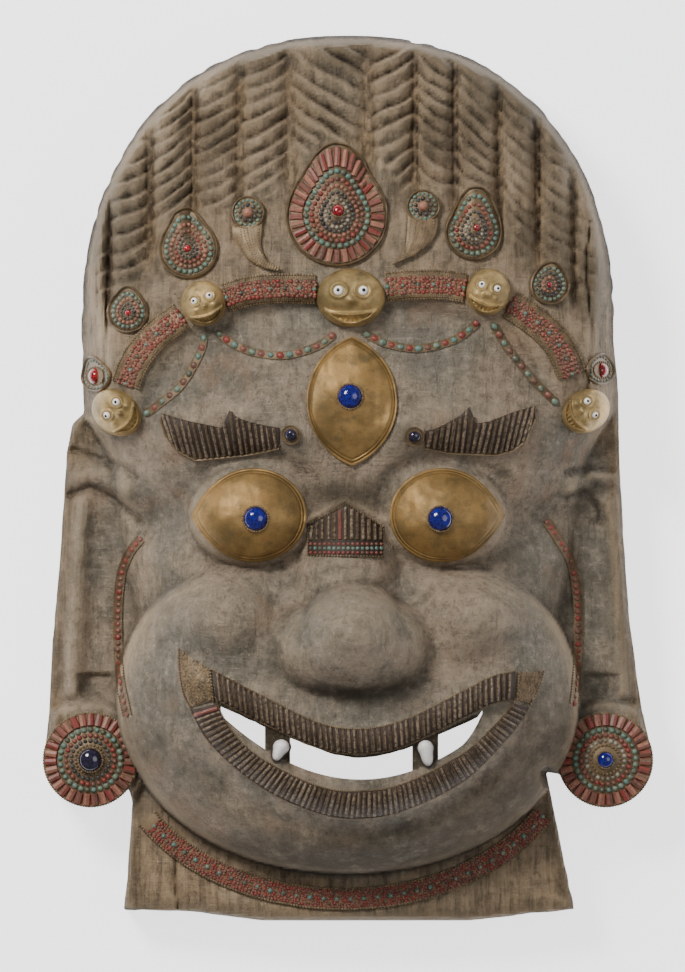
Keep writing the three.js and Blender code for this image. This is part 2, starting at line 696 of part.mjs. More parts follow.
function earDisc(side, name, stoneRadius) {
  const x = side * DISC.x;
  const rings = [[0.3, 10.4], [0.45, 7.6], [0.93, 4.6], [1, 2.4]];
  const disc = lay(`${name}_ear_disc`, boss(x, DISC.y, round(33), rings, 16, () => 50, 44), 'mosaic');
  setStone(`${name}_ear_stone`, x, DISC.y, stoneRadius, 60.2, disc);
}

earDisc(-1, 'left', 8.4);
earDisc(1, 'right', 5.5);

export default mask;
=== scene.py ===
"""A three-eyed cham dance mask: carved wood with brass, coral, turquoise and glass.

The wood is a height over a flat grid, CELL apart, and the hollow behind it is another,
HOLLOW_CELL apart. A sheet laid on the wood follows it, with its underside SINK below.

Lengths are millimetres until a mesh is made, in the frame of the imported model: +X across
the face, +Y towards the top of the hair, +Z out of the face, the back rim at z = 0.
"""
import math

import bpy
import numpy as np
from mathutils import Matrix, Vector


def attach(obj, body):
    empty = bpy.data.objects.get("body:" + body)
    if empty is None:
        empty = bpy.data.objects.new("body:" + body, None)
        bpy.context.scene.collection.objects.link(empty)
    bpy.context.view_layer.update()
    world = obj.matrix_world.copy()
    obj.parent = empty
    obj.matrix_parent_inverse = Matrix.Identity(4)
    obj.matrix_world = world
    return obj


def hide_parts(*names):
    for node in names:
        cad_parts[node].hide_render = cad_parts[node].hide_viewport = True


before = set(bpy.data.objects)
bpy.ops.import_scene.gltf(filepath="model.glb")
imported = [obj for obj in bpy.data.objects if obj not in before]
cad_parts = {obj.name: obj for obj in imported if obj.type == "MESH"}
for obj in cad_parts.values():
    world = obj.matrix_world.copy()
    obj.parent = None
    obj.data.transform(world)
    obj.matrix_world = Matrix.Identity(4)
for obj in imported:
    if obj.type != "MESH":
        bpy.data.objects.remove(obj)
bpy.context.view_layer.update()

MM = 0.001
rng = np.random.default_rng(7)

# ---- driving sizes ----

TOP = 311.5
BOTTOM = -311.5
HAIR_Y, HAIR_HALF, HAIR_POWER = 100, 188, 2.3
DISC_X, DISC_Y, DISC_RADIUS, DISC_FRONT = 181, -198, 33.5, 47.5
MOUTH_X = 9
JAW_Y = -165
EYE_X, EYE_Y = 67, -26
NECK_FRONT = 46
WALL = 26
SIDE_WALL = 30
CAVITY_Y, CAVITY_HALF_WIDTH, CAVITY_HALF_HEIGHT = 14, 150, 262
JAW_HALF_WIDTH, JAW_HALF_HEIGHT = 155, 113
CELL = 1.65
HOLLOW_CELL = 8
SINK = 1.0
HAIRLINE_Y, HAIRLINE_BOW = 204, 0.003
LOCK_EDGES = (-192, -168, -139, -108, -76, -41, 15, 47, 75, 106, 133, 158, 190)
LOCK_SLOPE = (0.45, 0.35, 0.72, 0.5, 0.5, -0.65, 0.5, -0.75, -0.8, -0.85, -0.65, -0.5)
LOCK_PITCH = (12, 12, 10, 10.4, 11.4, 13, 12, 11, 11, 11, 11, 12)
LOCK_RISE = 9


# ---- small formulas ----

def root(value, power=0.5):
    return np.sign(value) * np.abs(value) ** power


def bump(value, width):
    return np.exp(-(value / width) ** 2)


def ramp(value, start, end):
    t = np.clip((value - start) / (end - start), 0, 1)
    return t * t * (3 - 2 * t)


def span(value, start, full, fade, end):
    """Rises from 0 at start to 1 at full, and falls again from fade to end."""
    return ramp(value, start, full) * (1 - ramp(value, fade, end))


def smooth_max(a, b, blend):
    return np.maximum(a, b) + np.maximum(blend - np.abs(a - b), 0) ** 2 / (4 * blend)


def between(a, b, share):
    """What lies the given share of the way from a to b."""
    return a * (1 - share) + b * share


def line_distance(x, y, points):
    best = np.full(np.broadcast(x, y).shape, 1e9)
    for (ax, ay), (bx, by) in zip(points[:-1], points[1:]):
        ex, ey = bx - ax, by - ay
        t = np.clip(((x - ax) * ex + (y - ay) * ey) / (ex * ex + ey * ey), 0, 1)
        best = np.minimum(best, np.hypot(x - ax - t * ex, y - ay - t * ey))
    return best


def stroke(x, y, points, width):
    """1 on the line through the points, fading to 0 at about its width."""
    return bump(line_distance(x, y, points), width)


def lattice(x, y, seed):
    """A fixed pseudo-random value from 0 to 1 for each whole-numbered place."""
    value = np.sin(x * 127.1 + y * 311.7 + seed * 74.7) * 43758.5453
    return value - np.floor(value)


def noise(x, y, scale, seed=0):
    """Smooth noise from 0 to 1 whose patches are about scale across."""
    u, v = x / scale, y / scale
    i, j = np.floor(u), np.floor(v)
    s, t = ramp(u - i, 0, 1), ramp(v - j, 0, 1)
    low = between(lattice(i, j, seed), lattice(i + 1, j, seed), s)
    high = between(lattice(i, j + 1, seed), lattice(i + 1, j + 1, seed), s)
    return between(low, high, t)


# ---- outline of the wood ----

def hair_arc(start, end, steps):
    angle = np.linspace(start, end, steps)
    x = HAIR_HALF * root(np.cos(angle), 2 / HAIR_POWER)
    y = HAIR_Y + (TOP - HAIR_Y) * root(np.sin(angle), 2 / HAIR_POWER)
    return list(zip(x, y))


def disc_arc(side, start, end, steps):
    angle = np.radians(np.linspace(start, end, steps))
    return list(zip(side * DISC_X + DISC_RADIUS * np.cos(angle), DISC_Y + DISC_RADIUS * np.sin(angle)))


OUTLINE = (
    hair_arc(math.pi / 2, 0, 30)
    + [(190.5, 60), (191, 20), (194, -40), (198, -95), (204, -144), (209, -172)]
    + disc_arc(1, 20, -162, 26)
    + [(139.5, -207), (146, -238), (152, -268), (160, -304)]
    + [(128, -307), (85, BOTTOM), (-60, BOTTOM), (-104, -306), (-158, -304)]
    + [(-155.5, -281), (-152, -228)]
    + disc_arc(-1, -38, -198, 24)
    + [(-210.5, -166), (-208, -113), (-203, -60), (-200, -10), (-198, 18), (-194, 38), (-186, 46)]
    + hair_arc(math.pi, math.pi / 2, 30)[:-1]
)


def edge_distance(x, y):
    closed = OUTLINE + OUTLINE[:1]
    inside = np.zeros(np.shape(x), bool)
    for (ax, ay), (bx, by) in zip(closed[:-1], closed[1:]):
        if ay != by:
            inside ^= ((ay > y) != (by > y)) & (x < ax + (y - ay) / (by - ay) * (bx - ax))
    return np.where(inside, line_distance(x, y, closed), 0)


# ---- carved surface ----

def head_height(x, y):
    half = 163 + 48 * ramp(y, -10, 100)
    tall = np.where(y > 20, 322, 262)
    return 34 + 78 * root(1 - (np.abs(x) / half) ** 2.5 - ((y - 20) / tall) ** 2)


def muzzle_height(x, y):
    low = ramp(-y, 150, 215)
    tall = np.where(y > JAW_Y, 119, 113)
    across = (np.abs(x) / (163 - 5 * low)) ** (2.6 - 0.5 * low)
    along = (np.abs(y - JAW_Y) / tall) ** (2.3 - 0.3 * low)
    return 50 + 82 * root(1 - across - along)


def brow(x, y, z):
    along = np.abs(x)
    crown = ((along / 160) ** 2.8 + (np.maximum(y - 10, 0) / 124) ** 2.8) ** (1 / 2.8)
    arch = 27 + 14 * np.sin(np.clip((along - 20) / 120, 0, 1) * np.pi)
    hair_step = 9 * ramp(crown, 0.86, 0.97) * ramp(y, 20, 60)
    forehead = 7 * bump(x, 95) * bump(y - 55, 42)
    ridge = 11 * bump(y - arch, 20) * span(along, 8, 40, 120, 160)
    return z + hair_step + forehead + ridge


def eyeball(x, y, z):
    across = np.abs(x)
    e = np.hypot((across - EYE_X) / 42, (y - EYE_Y) / 34)
    ball = 96 + 26 * root(1 - (e / 1.05) ** 2)
    socket = 5 * bump(e - 1.18, 0.2) * ramp(across, 12, 30)
    corner = 15 * bump(np.hypot((across - 136) / 22, (y + 30) / 18), 1)
    return smooth_max(z - socket, ball, 14) - corner


CHEEK_FOLD = [(48, -84), (56, -104), (66, -122), (78, -130), (92, -129), (108, -121), (126, -116)]


def muzzle(x, y, z):
    across = np.abs(x)
    cheek = 30 * np.exp(-((across - 100) / 46) ** 2 - ((y + 86) / 38) ** 2)
    swell = smooth_max(z, muzzle_height(x, y) + cheek, 6)
    return swell - 5 * stroke(across, y, CHEEK_FOLD, 13)


def opening_top(x):
    return -195.5 + 0.5 * (np.hypot(x - MOUTH_X, 30) - 30)


def opening_bottom(x):
    return -211 + 0.0047 * (x - MOUTH_X) ** 2 + 12 * (np.maximum(0, x - 78) / 16) ** 2


def lips(x, y, z):
    across = np.abs(x)
    upper_y = opening_top(x) + 12.5
    lower_y = -226 + 0.005 * (x - MOUTH_X) ** 2
    upper = 6 * bump(y - upper_y, 13) * (1 - ramp(across, 100, 125))
    lower = 7 * bump(y - lower_y, 14) * (1 - ramp(across, 100, 130))
    groove = 5 * bump(y + 248 - 0.0042 * x * x, 9) * (1 - ramp(across, 90, 125))
    chin = 5 * bump(x, 60) * bump(y + 262, 16)
    return z + upper + lower - groove + chin


NOSE_CREASES = (
    [(-17, -66), (0, -63), (17, -65)],
    [(-24, -80), (-6, -75), (12, -73), (28, -76)],
    [(36, -92), (31, -102), (36, -110), (35, -122)],
    [(-29, -88), (-29, -97), (-34, -112)],
    [(-44, -64), (-46, -78), (-52, -92), (-55, -108)],
)


def nose(x, y, z):
    bridge = 92 + 44 * root(1 - (x / 36) ** 2 - ((y + 72) / 50) ** 2, 0.6)
    wings = 92 + 74 * root(1 - (np.abs(x - 3) / 60) ** 2.5 - (np.abs(y + 119) / 38) ** 2.2, 0.5)
    bulb = 96 + 88 * root(1 - (np.abs(x - 4) / 37) ** 2.2 - (np.abs(y + 108) / 36) ** 2.2, 0.5)
    whole = smooth_max(smooth_max(smooth_max(z, bridge, 20), wings, 14), bulb, 26)
    crease = sum(1.2 * stroke(x, y, line, 2.0) for line in NOSE_CREASES)
    nostril = 3 * bump(np.hypot(x - 2, (y + 139) * 1.6), 4)
    return whole - crease - nostril


def strand_height(x, y, lock, t):
    """Saw-toothed strands that slope across one lock of hair."""
    width = LOCK_EDGES[lock + 1] - LOCK_EDGES[lock]
    bend = 2.2 * (1 - np.abs(2 * t - 1) ** 2.2)
    wander = 6 * (noise(x, y, 26, lock) - 0.5) + 2 * (noise(x, y, 9, 60 + lock) - 0.5)
    rise = y - LOCK_SLOPE[lock] * width * (t - 0.5) + bend + wander
    phase = rise / LOCK_PITCH[lock] + 0.37 * lock
    saw = phase - np.floor(phase)
    tooth = np.where(saw < 0.75, (saw / 0.75) ** 0.85, (1 - saw) / 0.25)
    depth = 0.75 + 0.5 * lattice(np.floor(phase), lock + 0 * phase, 3)
    worn = (0.5 + 0.5 * ramp(noise(x, y, 30, 40 + lock), 0.2, 0.6)) * (1 - 0.4 * ramp(x, 60, 120))
    return (6.6 * tooth - 3.8) * depth * worn * np.minimum(1, 8 * t * (1 - t))


# Round every jewel and hook the wood is left flat: x, y and radius.
SMOOTH_SPOTS = ((-154, 117, 16), (-111.5, 163, 24), (-70, 184, 12), (-7.7, 191, 42),
                (52.5, 189, 12), (88, 176, 24), (141, 136, 16))


def above_hairline(x, y):
    return y - HAIRLINE_Y + HAIRLINE_BOW * x * x


def hair(x, y, z):
    above = above_hairline(x, y)
    shown = ramp(above, -30, 30)
    cut = ramp(above, -14, 12)
    for spot_x, spot_y, radius in SMOOTH_SPOTS:
        cut = cut * ramp(np.hypot(x - spot_x, y - spot_y), radius, radius + 9)
    for lock, (left, right) in enumerate(zip(LOCK_EDGES[:-1], LOCK_EDGES[1:])):
        t = (x - left) / (right - left)
        here = (t >= 0) & (t < 1)
        t = np.clip(t, 0, 1)
        side = np.minimum(1, np.abs(2 * t - 1) / 0.88)
        swell = LOCK_RISE * (1 - side ** 3) - 8
        z = z + np.where(here, shown * (swell + cut * strand_height(x, y, lock, t)), 0)
    return z


EAR_GROOVES = (
    [(-193, 20), (-178, 14), (-157, 7), (-148, 0)],
    [(-196, -12), (-181, -6), (-162, -17), (-145, -31)],
    [(154, 4), (170, 7), (186, 5)],
    [(152, -14), (166, -10), (176, -20), (179, -31)],
)


def ear(x, y, z):
    across = np.abs(x)
    there = ramp(across, 128, 134) * (1 - ramp(y, 30, 45))
    arch = 10 * stroke(across, y, [(190, 0), (172, 2), (156, -8)], 8) * ramp(across, 138, 160)
    helix = 10 * stroke(across, y, [(186, -18), (191, -60), (193, -150)], 8)
    shell = 3 * span(across, 160, 166, 178, 187) * span(-y, 22, 34, 110, 120)
    notch = 5 * span(across, 164, 168, 186, 194) * span(-y, 136, 140, 149, 156)
    grooves = sum(5 * stroke(x, y, line, 2.6) for line in EAR_GROOVES)
    lobe = 46 - 40 * ramp(np.hypot(across - DISC_X, y - DISC_Y), 37, 56)
    carved = smooth_max(z + (arch + helix - shell - notch - grooves) * there, lobe, 6)
    return np.where(there > 0, carved, z)


CRACKS = (
    [(-171, 58), (-170, 95), (-168, 140), (-167, 178), (-169, 214)],
    [(-176, 120), (-175, 160), (-178, 190)],
    [(168, 60), (171, 100), (167, 150), (170, 180)],
    [(-120, -262), (-122, -284), (-119, -306)],
)
BRIDGE_EDGE = ((-29, -30), (-15, -22), (-1.5, -15.5), (12, -22), (26, -30))


def marks(x, y):
    """Uneven tool marks and a few cracks along the grain."""
    broad = 1.8 * (noise(x, y, 31, 5) - 0.5) + 1.3 * (noise(x, y, 11) - 0.5)
    chisel = 1.0 * (noise(x + 0.6 * y, y - 0.4 * x, 6, 4) - 0.5) + 0.9 * (noise(x, y / 6, 3.6, 8) - 0.5)
    rough = 0.5 + 0.9 * ramp(y - 150 + 0.004 * x * x, -10, 40) + 0.9 * ramp(-y, 250, 285)
    crack = sum(3.5 * stroke(x, y, line, 1.1) for line in CRACKS)
    lip = 2.0 * stroke(x, y, BRIDGE_EDGE, 1.8)
    return broad + chisel * rough + lip - crack


def relief(x, y):
    z = smooth_max(NECK_FRONT - 14 * (x / 210) ** 2, head_height(x, y), 12)
    for carve in (brow, eyeball, muzzle, lips, nose, hair, ear):
        z = carve(x, y, z)
    inside = edge_distance(x, y)
    notch_steep = 5 * ramp(-y, 165, 192) * (1 - ramp(np.abs(x), 150, 160))
    slope = 3 + 3 * ramp(y, 90, 200) + notch_steep
    rim = SIDE_WALL + slope * inside + 5 * np.sqrt(np.clip(inside / 6, 0, 1))
    z = -smooth_max(-z, -rim, 10)
    return z + marks(x, y)


def cavity_height(x, y):
    core = np.maximum(np.maximum(head_height(x, y), muzzle_height(x, y)), NECK_FRONT) - WALL
    out = (np.abs(x) / CAVITY_HALF_WIDTH) ** 2.4 + (np.abs(y - CAVITY_Y) / CAVITY_HALF_HEIGHT) ** 2.4
    return np.maximum(np.minimum(core, 400 * (1 - out)), -10)


class Surface:
    def __init__(self, half_width, half_height, cell):
        self.cell = cell
        self.xs = np.arange(-half_width, half_width + cell, cell)
        self.ys = np.arange(-half_height, half_height + cell, cell)
        self.z = relief(*np.meshgrid(self.xs, self.ys))

    def lookup(self, table, x, y):
        u = np.clip((x - self.xs[0]) / self.cell, 0, len(self.xs) - 1.001)
        v = np.clip((y - self.ys[0]) / self.cell, 0, len(self.ys) - 1.001)
        i, j = u.astype(int), v.astype(int)
        s, t = u - i, v - j
        low = between(table[j, i], table[j, i + 1], s)
        high = between(table[j + 1, i], table[j + 1, i + 1], s)
        return between(low, high, t)

    def __call__(self, x, y):
        return self.lookup(self.z, np.asarray(x, float), np.asarray(y, float))


ground = Surface(217, 315, CELL)


# ---- meshes ----

def new_object(name, points, faces):
    mesh = bpy.data.meshes.new(name)
    mesh.from_pydata((np.asarray(points) * MM).tolist(), [], faces)
    mesh.update()
    piece = bpy.data.objects.new(name, mesh)
    bpy.context.scene.collection.objects.link(piece)
    return piece


def smooth(mesh, sharp_angle):
    mesh.polygons.foreach_set("use_smooth", [True] * len(mesh.polygons))
    mesh.set_sharp_from_angle(angle=math.radians(sharp_angle))


def grid_faces(rows, columns, start=0):
    first = (np.arange(rows - 1)[:, None] * columns + np.arange(columns - 1)).ravel() + start
    return np.stack([first, first + 1, first + columns + 1, first + columns], 1)


def grid_edge(rows, columns):
    """The points round a grid, in order."""
    index = np.arange(rows * columns).reshape(rows, columns)
    return np.concatenate([index[0, :-1], index[:-1, -1], index[-1, :0:-1], index[:0:-1, 0]])


def dome_faces(sectors, rings):
    """Faces between rings of points, up to one tip and with one flat face below."""
    faces = []
    for start in range(0, rings * sectors, sectors):
        for i in range(sectors):
            a, b = start + i, start + (i + 1) % sectors
            faces.append([a, b, b + sectors, a + sectors])
    last = rings * sectors
    faces += [[last + i, last + (i + 1) % sectors, last + sectors] for i in range(sectors)]
    return faces + [list(range(sectors))[::-1]]


def block(name, xs, ys, heights, base):
    """A closed block with a flat underside and a top that follows the heights."""
    x, y = np.meshgrid(xs, ys)
    top = np.stack([x.ravel(), y.ravel(), heights.ravel()], 1)
    edge = grid_edge(*heights.shape)
    foot = top[edge] * (1, 1, 0) + (0, 0, base)
    low = np.arange(len(edge)) + len(top)
    sides = np.stack([low, np.roll(low, -1), np.roll(edge, -1), edge], 1)
    faces = grid_faces(*heights.shape).tolist() + sides.tolist() + [low[::-1].tolist()]
    return new_object(name, np.concatenate([top, foot]), faces)


def prism(name, outline, z0, z1):
    """An upright prism on a counter-clockwise outline."""
    count = len(outline)
    points = [(x, y, z) for z in (z0, z1) for x, y in outline]
    ring = list(range(count))
    sides = [[i, (i + 1) % count, (i + 1) % count + count, i + count] for i in ring]
    return new_object(name, points, sides + [ring[::-1], [i + count for i in ring]])


def cut(piece, tool, operation):
    """Applies one exact cut, and deletes the tool."""
    step = piece.modifiers.new("cut", "BOOLEAN")
    step.operation = operation
    step.solver = "MANIFOLD"
    step.object = tool
    bpy.context.view_layer.update()
    result = bpy.data.meshes.new_from_object(piece.evaluated_get(bpy.context.evaluated_depsgraph_get()))
    piece.modifiers.clear()
    piece.data = result
    bpy.data.objects.remove(tool)


class Piece:
    """Collects simple shapes, and turns them into one mesh with several finishes."""

    def __init__(self, name):
        self.name = name
        self.points = []
        self.faces = []
        self.finishes = []
        self.count = 0

    def add(self, points, faces, finish):
        self.points.append(points)
        self.faces += [[i + self.count for i in face] for face in faces]
        self.finishes += [finish] * len(faces)
        self.count += len(points)

    def finish(self, replaces, slot):
        names = sorted(set(self.finishes))
        piece = new_object(self.name, np.concatenate(self.points), self.faces)
        for name in names:
            piece.data.materials.append(MATERIALS[name])
        piece.data.polygons.foreach_set("material_index", [names.index(name) for name in self.finishes])
        smooth(piece.data, 42)
        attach(piece, "root")
        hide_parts(replaces)


def normals(x, y, surface, reach=1.2):
    dx = (surface(x + reach, y) - surface(x - reach, y)) / (2 * reach)
    dy = (surface(x, y + reach) - surface(x, y - reach)) / (2 * reach)
    normal = np.stack([-dx, -dy, np.ones_like(dx)], -1)
    return normal / np.linalg.norm(normal, axis=-1, keepdims=True)


def dome_template(sectors, rings, foot=-0.35):
    """A unit dome that is closed below."""
    turn = 2 * np.pi * np.arange(sectors) / sectors
    points = []
    for level in np.linspace(math.asin(foot), math.pi / 2, rings + 1)[:-1]:
        width = math.cos(level)
        points += [(width * math.cos(a), width * math.sin(a), math.sin(level)) for a in turn]
    return np.array(points + [(0, 0, 1)]), dome_faces(sectors, rings - 1)


BEAD = dome_template(9, 3)
GRAIN = dome_template(6, 2)
STONE = dome_template(22, 7, -0.15)


def scatter(piece, template, places, size, finish, surface=ground, turn=0.0, lift=0.0):
    """Sets one copy of a template at each place, upright on the surface."""
    x, y = np.atleast_2d(np.asarray(places, float)).T
    size = np.asarray(size, float)
    if size.ndim < 2:
        size = size.reshape(-1, 1)
    turn = np.broadcast_to(turn, len(x))
    normal = normals(x, y, surface)
    along = np.stack([np.cos(turn), np.sin(turn), 0 * turn], -1)
    along -= normal * np.sum(along * normal, -1, keepdims=True)
    along /= np.linalg.norm(along, axis=-1, keepdims=True)
    side = np.cross(normal, along)
    base = np.stack([x, y, surface(x, y)], -1) + normal * lift
    shape, faces = template
    local = shape[None] * np.broadcast_to(size, (len(x), 3))[:, None]
    points = base[:, None] + local[..., :1] * along[:, None] + local[..., 1:2] * side[:, None]
    points = points + local[..., 2:] * normal[:, None]
    starts = range(0, len(x) * len(shape), len(shape))
    copies = [[i + start for i in face] for start in starts for face in faces]
    piece.add(points.reshape(-1, 3), copies, finish)


def set_stone(piece, place, radius, height, finish, surface, lift=0.0):
    scatter(piece, STONE, place, [[radius, radius, height]], finish, surface, lift=lift)


def sweep(piece, paths, profile, finish, surface=ground, closed=False):
    """Draws a profile of (sideways, upwards) points along each flat path on the surface."""
    paths = np.asarray(paths, float)
    if paths.ndim == 2:
        paths = paths[None]
    count, steps = paths.shape[:2]
    if closed:
        tangent = np.roll(paths, -1, 1) - np.roll(paths, 1, 1)
    else:
        tangent = np.gradient(paths, axis=1)
    x, y = paths[..., 0], paths[..., 1]
    normal = normals(x, y, surface)
    side = np.cross(normal, np.concatenate([tangent, np.zeros((count, steps, 1))], -1))
    side /= np.linalg.norm(side, axis=-1, keepdims=True)
    profile = np.asarray(profile, float)
    base = np.stack([x, y, surface(x, y)], -1)
    points = base[:, :, None] + side[:, :, None] * profile[:, :1] + normal[:, :, None] * profile[:, 1:]
    size = len(profile)
    faces = []
    for start in range(0, count * steps * size, steps * size):
        for i in range(steps if closed else steps - 1):
            a = start + i * size
            b = start + ((i + 1) % steps) * size
            faces += [[a + j, b + j, b + (j + 1) % size, a + (j + 1) % size] for j in range(size)]
        if not closed:
            faces.append([start + j for j in range(size)])
            faces.append([start + steps * size - 1 - j for j in range(size)])
    piece.add(points.reshape(-1, 3), faces, finish)


def half_round(radius, height):
    arc = [(radius * math.cos(a), height * math.sin(a)) for a in np.linspace(np.pi, 0, 5)]
    return arc + [(radius, -0.8), (-radius, -0.8)]


def plate(piece, rungs, height, finish, across, edge=0.6):
    """A thin sheet over a ladder of rungs, with rounded edges and a closed underside."""
    rungs = np.asarray(rungs, float)
    rows = len(rungs)
    count = rows * across
    places = between(rungs[:, None, 0], rungs[:, None, 1], np.linspace(0, 1, across)[None, :, None])
    x, y = places.reshape(-1, 2).T
    wood = ground(x, y)
    loop = grid_edge(rows, across)
    thick = np.full(count, float(height))
    thick[loop] -= edge
    points = np.concatenate([np.stack([x, y, wood + thick], -1), np.stack([x, y, wood - SINK], -1)])
    sides = np.stack([loop + count, np.roll(loop, -1) + count, np.roll(loop, -1), loop], 1)
    faces = np.concatenate([grid_faces(rows, across), grid_faces(rows, across, count)[:, ::-1], sides])
    if np.cross(places[1, 0] - places[0, 0], places[0, -1] - places[0, 0]) > 0:
        faces = faces[:, ::-1]
    piece.add(points, faces.tolist(), finish)


def polar_plate(piece, centre, radius, height, finish, sectors, rings, surface=ground, skirt=1.5):
    """A sheet on a polar grid. height(share, angle) is added to the surface below it."""
    angle = 2 * np.pi * np.arange(sectors) / sectors
    share = np.linspace(1, 0, rings + 1)[:-1, None] + 0 * angle
    x = centre[0] + share * radius(angle) * np.cos(angle)
    y = centre[1] + share * radius(angle) * np.sin(angle)
    top = np.stack([x, y, surface(x, y) + height(share, angle + 0 * x)], -1)
    foot = np.stack([x[0], y[0], surface(x[0], y[0]) - skirt], -1)
    tip = (*centre, surface(*centre) + height(0.0, 0.0))
    piece.add(np.concatenate([foot, top.reshape(-1, 3), [tip]]), dome_faces(sectors, rings), finish)


# ---- places along lines and rings ----

def path_length(points):
    return float(np.sum(np.linalg.norm(np.diff(points, axis=0), axis=1)))


def even(points, steps):
    """Even steps along the line through the points."""
    points = np.asarray(points, float)
    length = np.concatenate([[0], np.cumsum(np.linalg.norm(np.diff(points, axis=0), axis=1))])
    at = np.linspace(0, length[-1], steps)
    return np.stack([np.interp(at, length, points[:, i]) for i in (0, 1)], 1)


def smooth_path(points, steps):
    """Even steps along a smooth line through the points."""
    points = np.asarray(points, float)
    padded = np.concatenate([[2 * points[0] - points[1]], points, [2 * points[-1] - points[-2]]])
    t = np.linspace(0, 1, 24, endpoint=False)[:, None]
    dense = []
    for a, b, c, d in zip(padded[:-3], padded[1:-2], padded[2:-1], padded[3:]):
        bend = (2 * a - 5 * b + 4 * c - d) * t ** 2 + (3 * b - a - 3 * c + d) * t ** 3
        dense.append(0.5 * (2 * b + (c - a) * t + bend))
    return even(np.concatenate(dense + [points[-1:]]), steps)


def smooth_rungs(pairs, steps):
    """A ladder of rungs between the smooth lines through the first and the second places."""
    return np.stack([smooth_path(line, steps) for line in zip(*pairs)], 1)


def direction(line):
    tangent = np.gradient(line, axis=0)
    return np.arctan2(tangent[:, 1], tangent[:, 0])


def beside(path, offset):
    """The same path moved sideways, to its left."""
    tangent = np.gradient(path, axis=0)
    tangent /= np.linalg.norm(tangent, axis=1, keepdims=True)
    return path + offset * np.stack([-tangent[:, 1], tangent[:, 0]], 1)


def circle(radius):
    return lambda angle: radius + 0 * angle


def oval(rx, ry, turn=0.0):
    return lambda angle: 1 / np.hypot(np.cos(angle - turn) / rx, np.sin(angle - turn) / ry)


def drop(rx, ry, tip, reach, sharp=7):
    """An oval drawn out to a point towards the angle tip."""
    return lambda angle: oval(rx, ry)(angle) + reach * ((1 + np.cos(angle - tip)) / 2) ** (sharp * 2)


def ring_path(centre, radius, inset, pitch=None, count=None):
    """Even places on a closed ring, inset from the narrowest part of the outline."""
    angle = np.linspace(0, 2 * np.pi, 241) + np.pi / 2
    reach = radius(angle) * (1 - inset / float(np.min(radius(angle))))
    loop = np.stack([centre[0] + reach * np.cos(angle), centre[1] + reach * np.sin(angle)], 1)
    return even(loop, 1 + (count or max(5, round(path_length(loop) / pitch))))[:-1]


def ring_of_grains(piece, centre, radius, inset, pitch, size, surface, lift=0.0):
    scatter(piece, GRAIN, ring_path(centre, radius, inset, pitch), size, "bronze", surface, lift=lift)


# ---- materials ----

def linear(red, green, blue):
    """Screen colour (0 to 255) to linear light."""
    channel = lambda v: v / 255 / 12.92 if v <= 10 else ((v / 255 + 0.055) / 1.055) ** 2.4
    return (channel(red), channel(green), channel(blue), 1)


class Nodes:
    """Short names for building one material's nodes."""

    def __init__(self, name):
        self.material = bpy.data.materials.new(name)
        self.material.use_nodes = True
        self.tree = self.material.node_tree
        self.shader = self.tree.nodes["Principled BSDF"]
        self.place = self.tree.nodes.new("ShaderNodeTexCoord").outputs["Object"]

    def fill(self, node, inputs):
        """Sets each input to its value, or links it to its source."""
        for key, source in inputs.items():
            if isinstance(source, (int, float, tuple)):
                node.inputs[key].default_value = source
            else:
                self.tree.links.new(source, node.inputs[key])

    def node(self, kind, inputs, **settings):
        made = self.tree.nodes.new(kind)
        for key, value in settings.items():
            setattr(made, key, value)
        self.fill(made, inputs)
        return made

    def stretched(self, x, y, z):
        return self.node("ShaderNodeMapping", {"Scale": (x, y, z), "Vector": self.place}).outputs["Vector"]

    def noise(self, scale, detail=4, rough=0.6, place=None, distortion=0.0):
        inputs = {"Scale": scale, "Detail": detail, "Roughness": rough, "Distortion": distortion}
        inputs["Vector"] = place or self.place
        return self.node("ShaderNodeTexNoise", inputs).outputs["Fac"]

    def crackle(self, scale):
        """Distance to the edges of small uneven cells."""
        inputs = {"Scale": scale, "Vector": self.place}
        return self.node("ShaderNodeTexVoronoi", inputs, feature="DISTANCE_TO_EDGE").outputs["Distance"]

    def ramp(self, value, low, high):
        inputs = {"From Min": low, "From Max": high, "Value": value}
        return self.node("ShaderNodeMapRange", inputs, interpolation_type="SMOOTHSTEP").outputs["Result"]

    def times(self, a, b):
        return self.node("ShaderNodeMath", {0: a, 1: b}, operation="MULTIPLY").outputs[0]

    def plus(self, a, b):
        return self.node("ShaderNodeMath", {0: a, 1: b}, operation="ADD").outputs[0]

    def mix(self, factor, a, b):
        return self.node("ShaderNodeMix", {"Factor": factor, 6: a, 7: b}, data_type="RGBA").outputs[2]

    def stain(self, colour, source, low, high, strength, tint):
        """Brings a screen colour in where the source passes from low to high."""
        return self.mix(self.times(self.ramp(source, low, high), strength), colour, linear(*tint))

    def island(self):
        return self.node("ShaderNodeNewGeometry", {}).outputs["Random Per Island"]

    def bumps(self, *layers):
        """Stacks (height, strength, distance in metres) layers."""
        below = {}
        for height, strength, distance in layers:
            inputs = {"Strength": strength, "Distance": distance, "Height": height, **below}
            below = {"Normal": self.node("ShaderNodeBump", inputs).outputs["Normal"]}
        self.fill(self.shader, below)

    def surface(self, inputs):
        self.fill(self.shader, inputs)
        return self.material


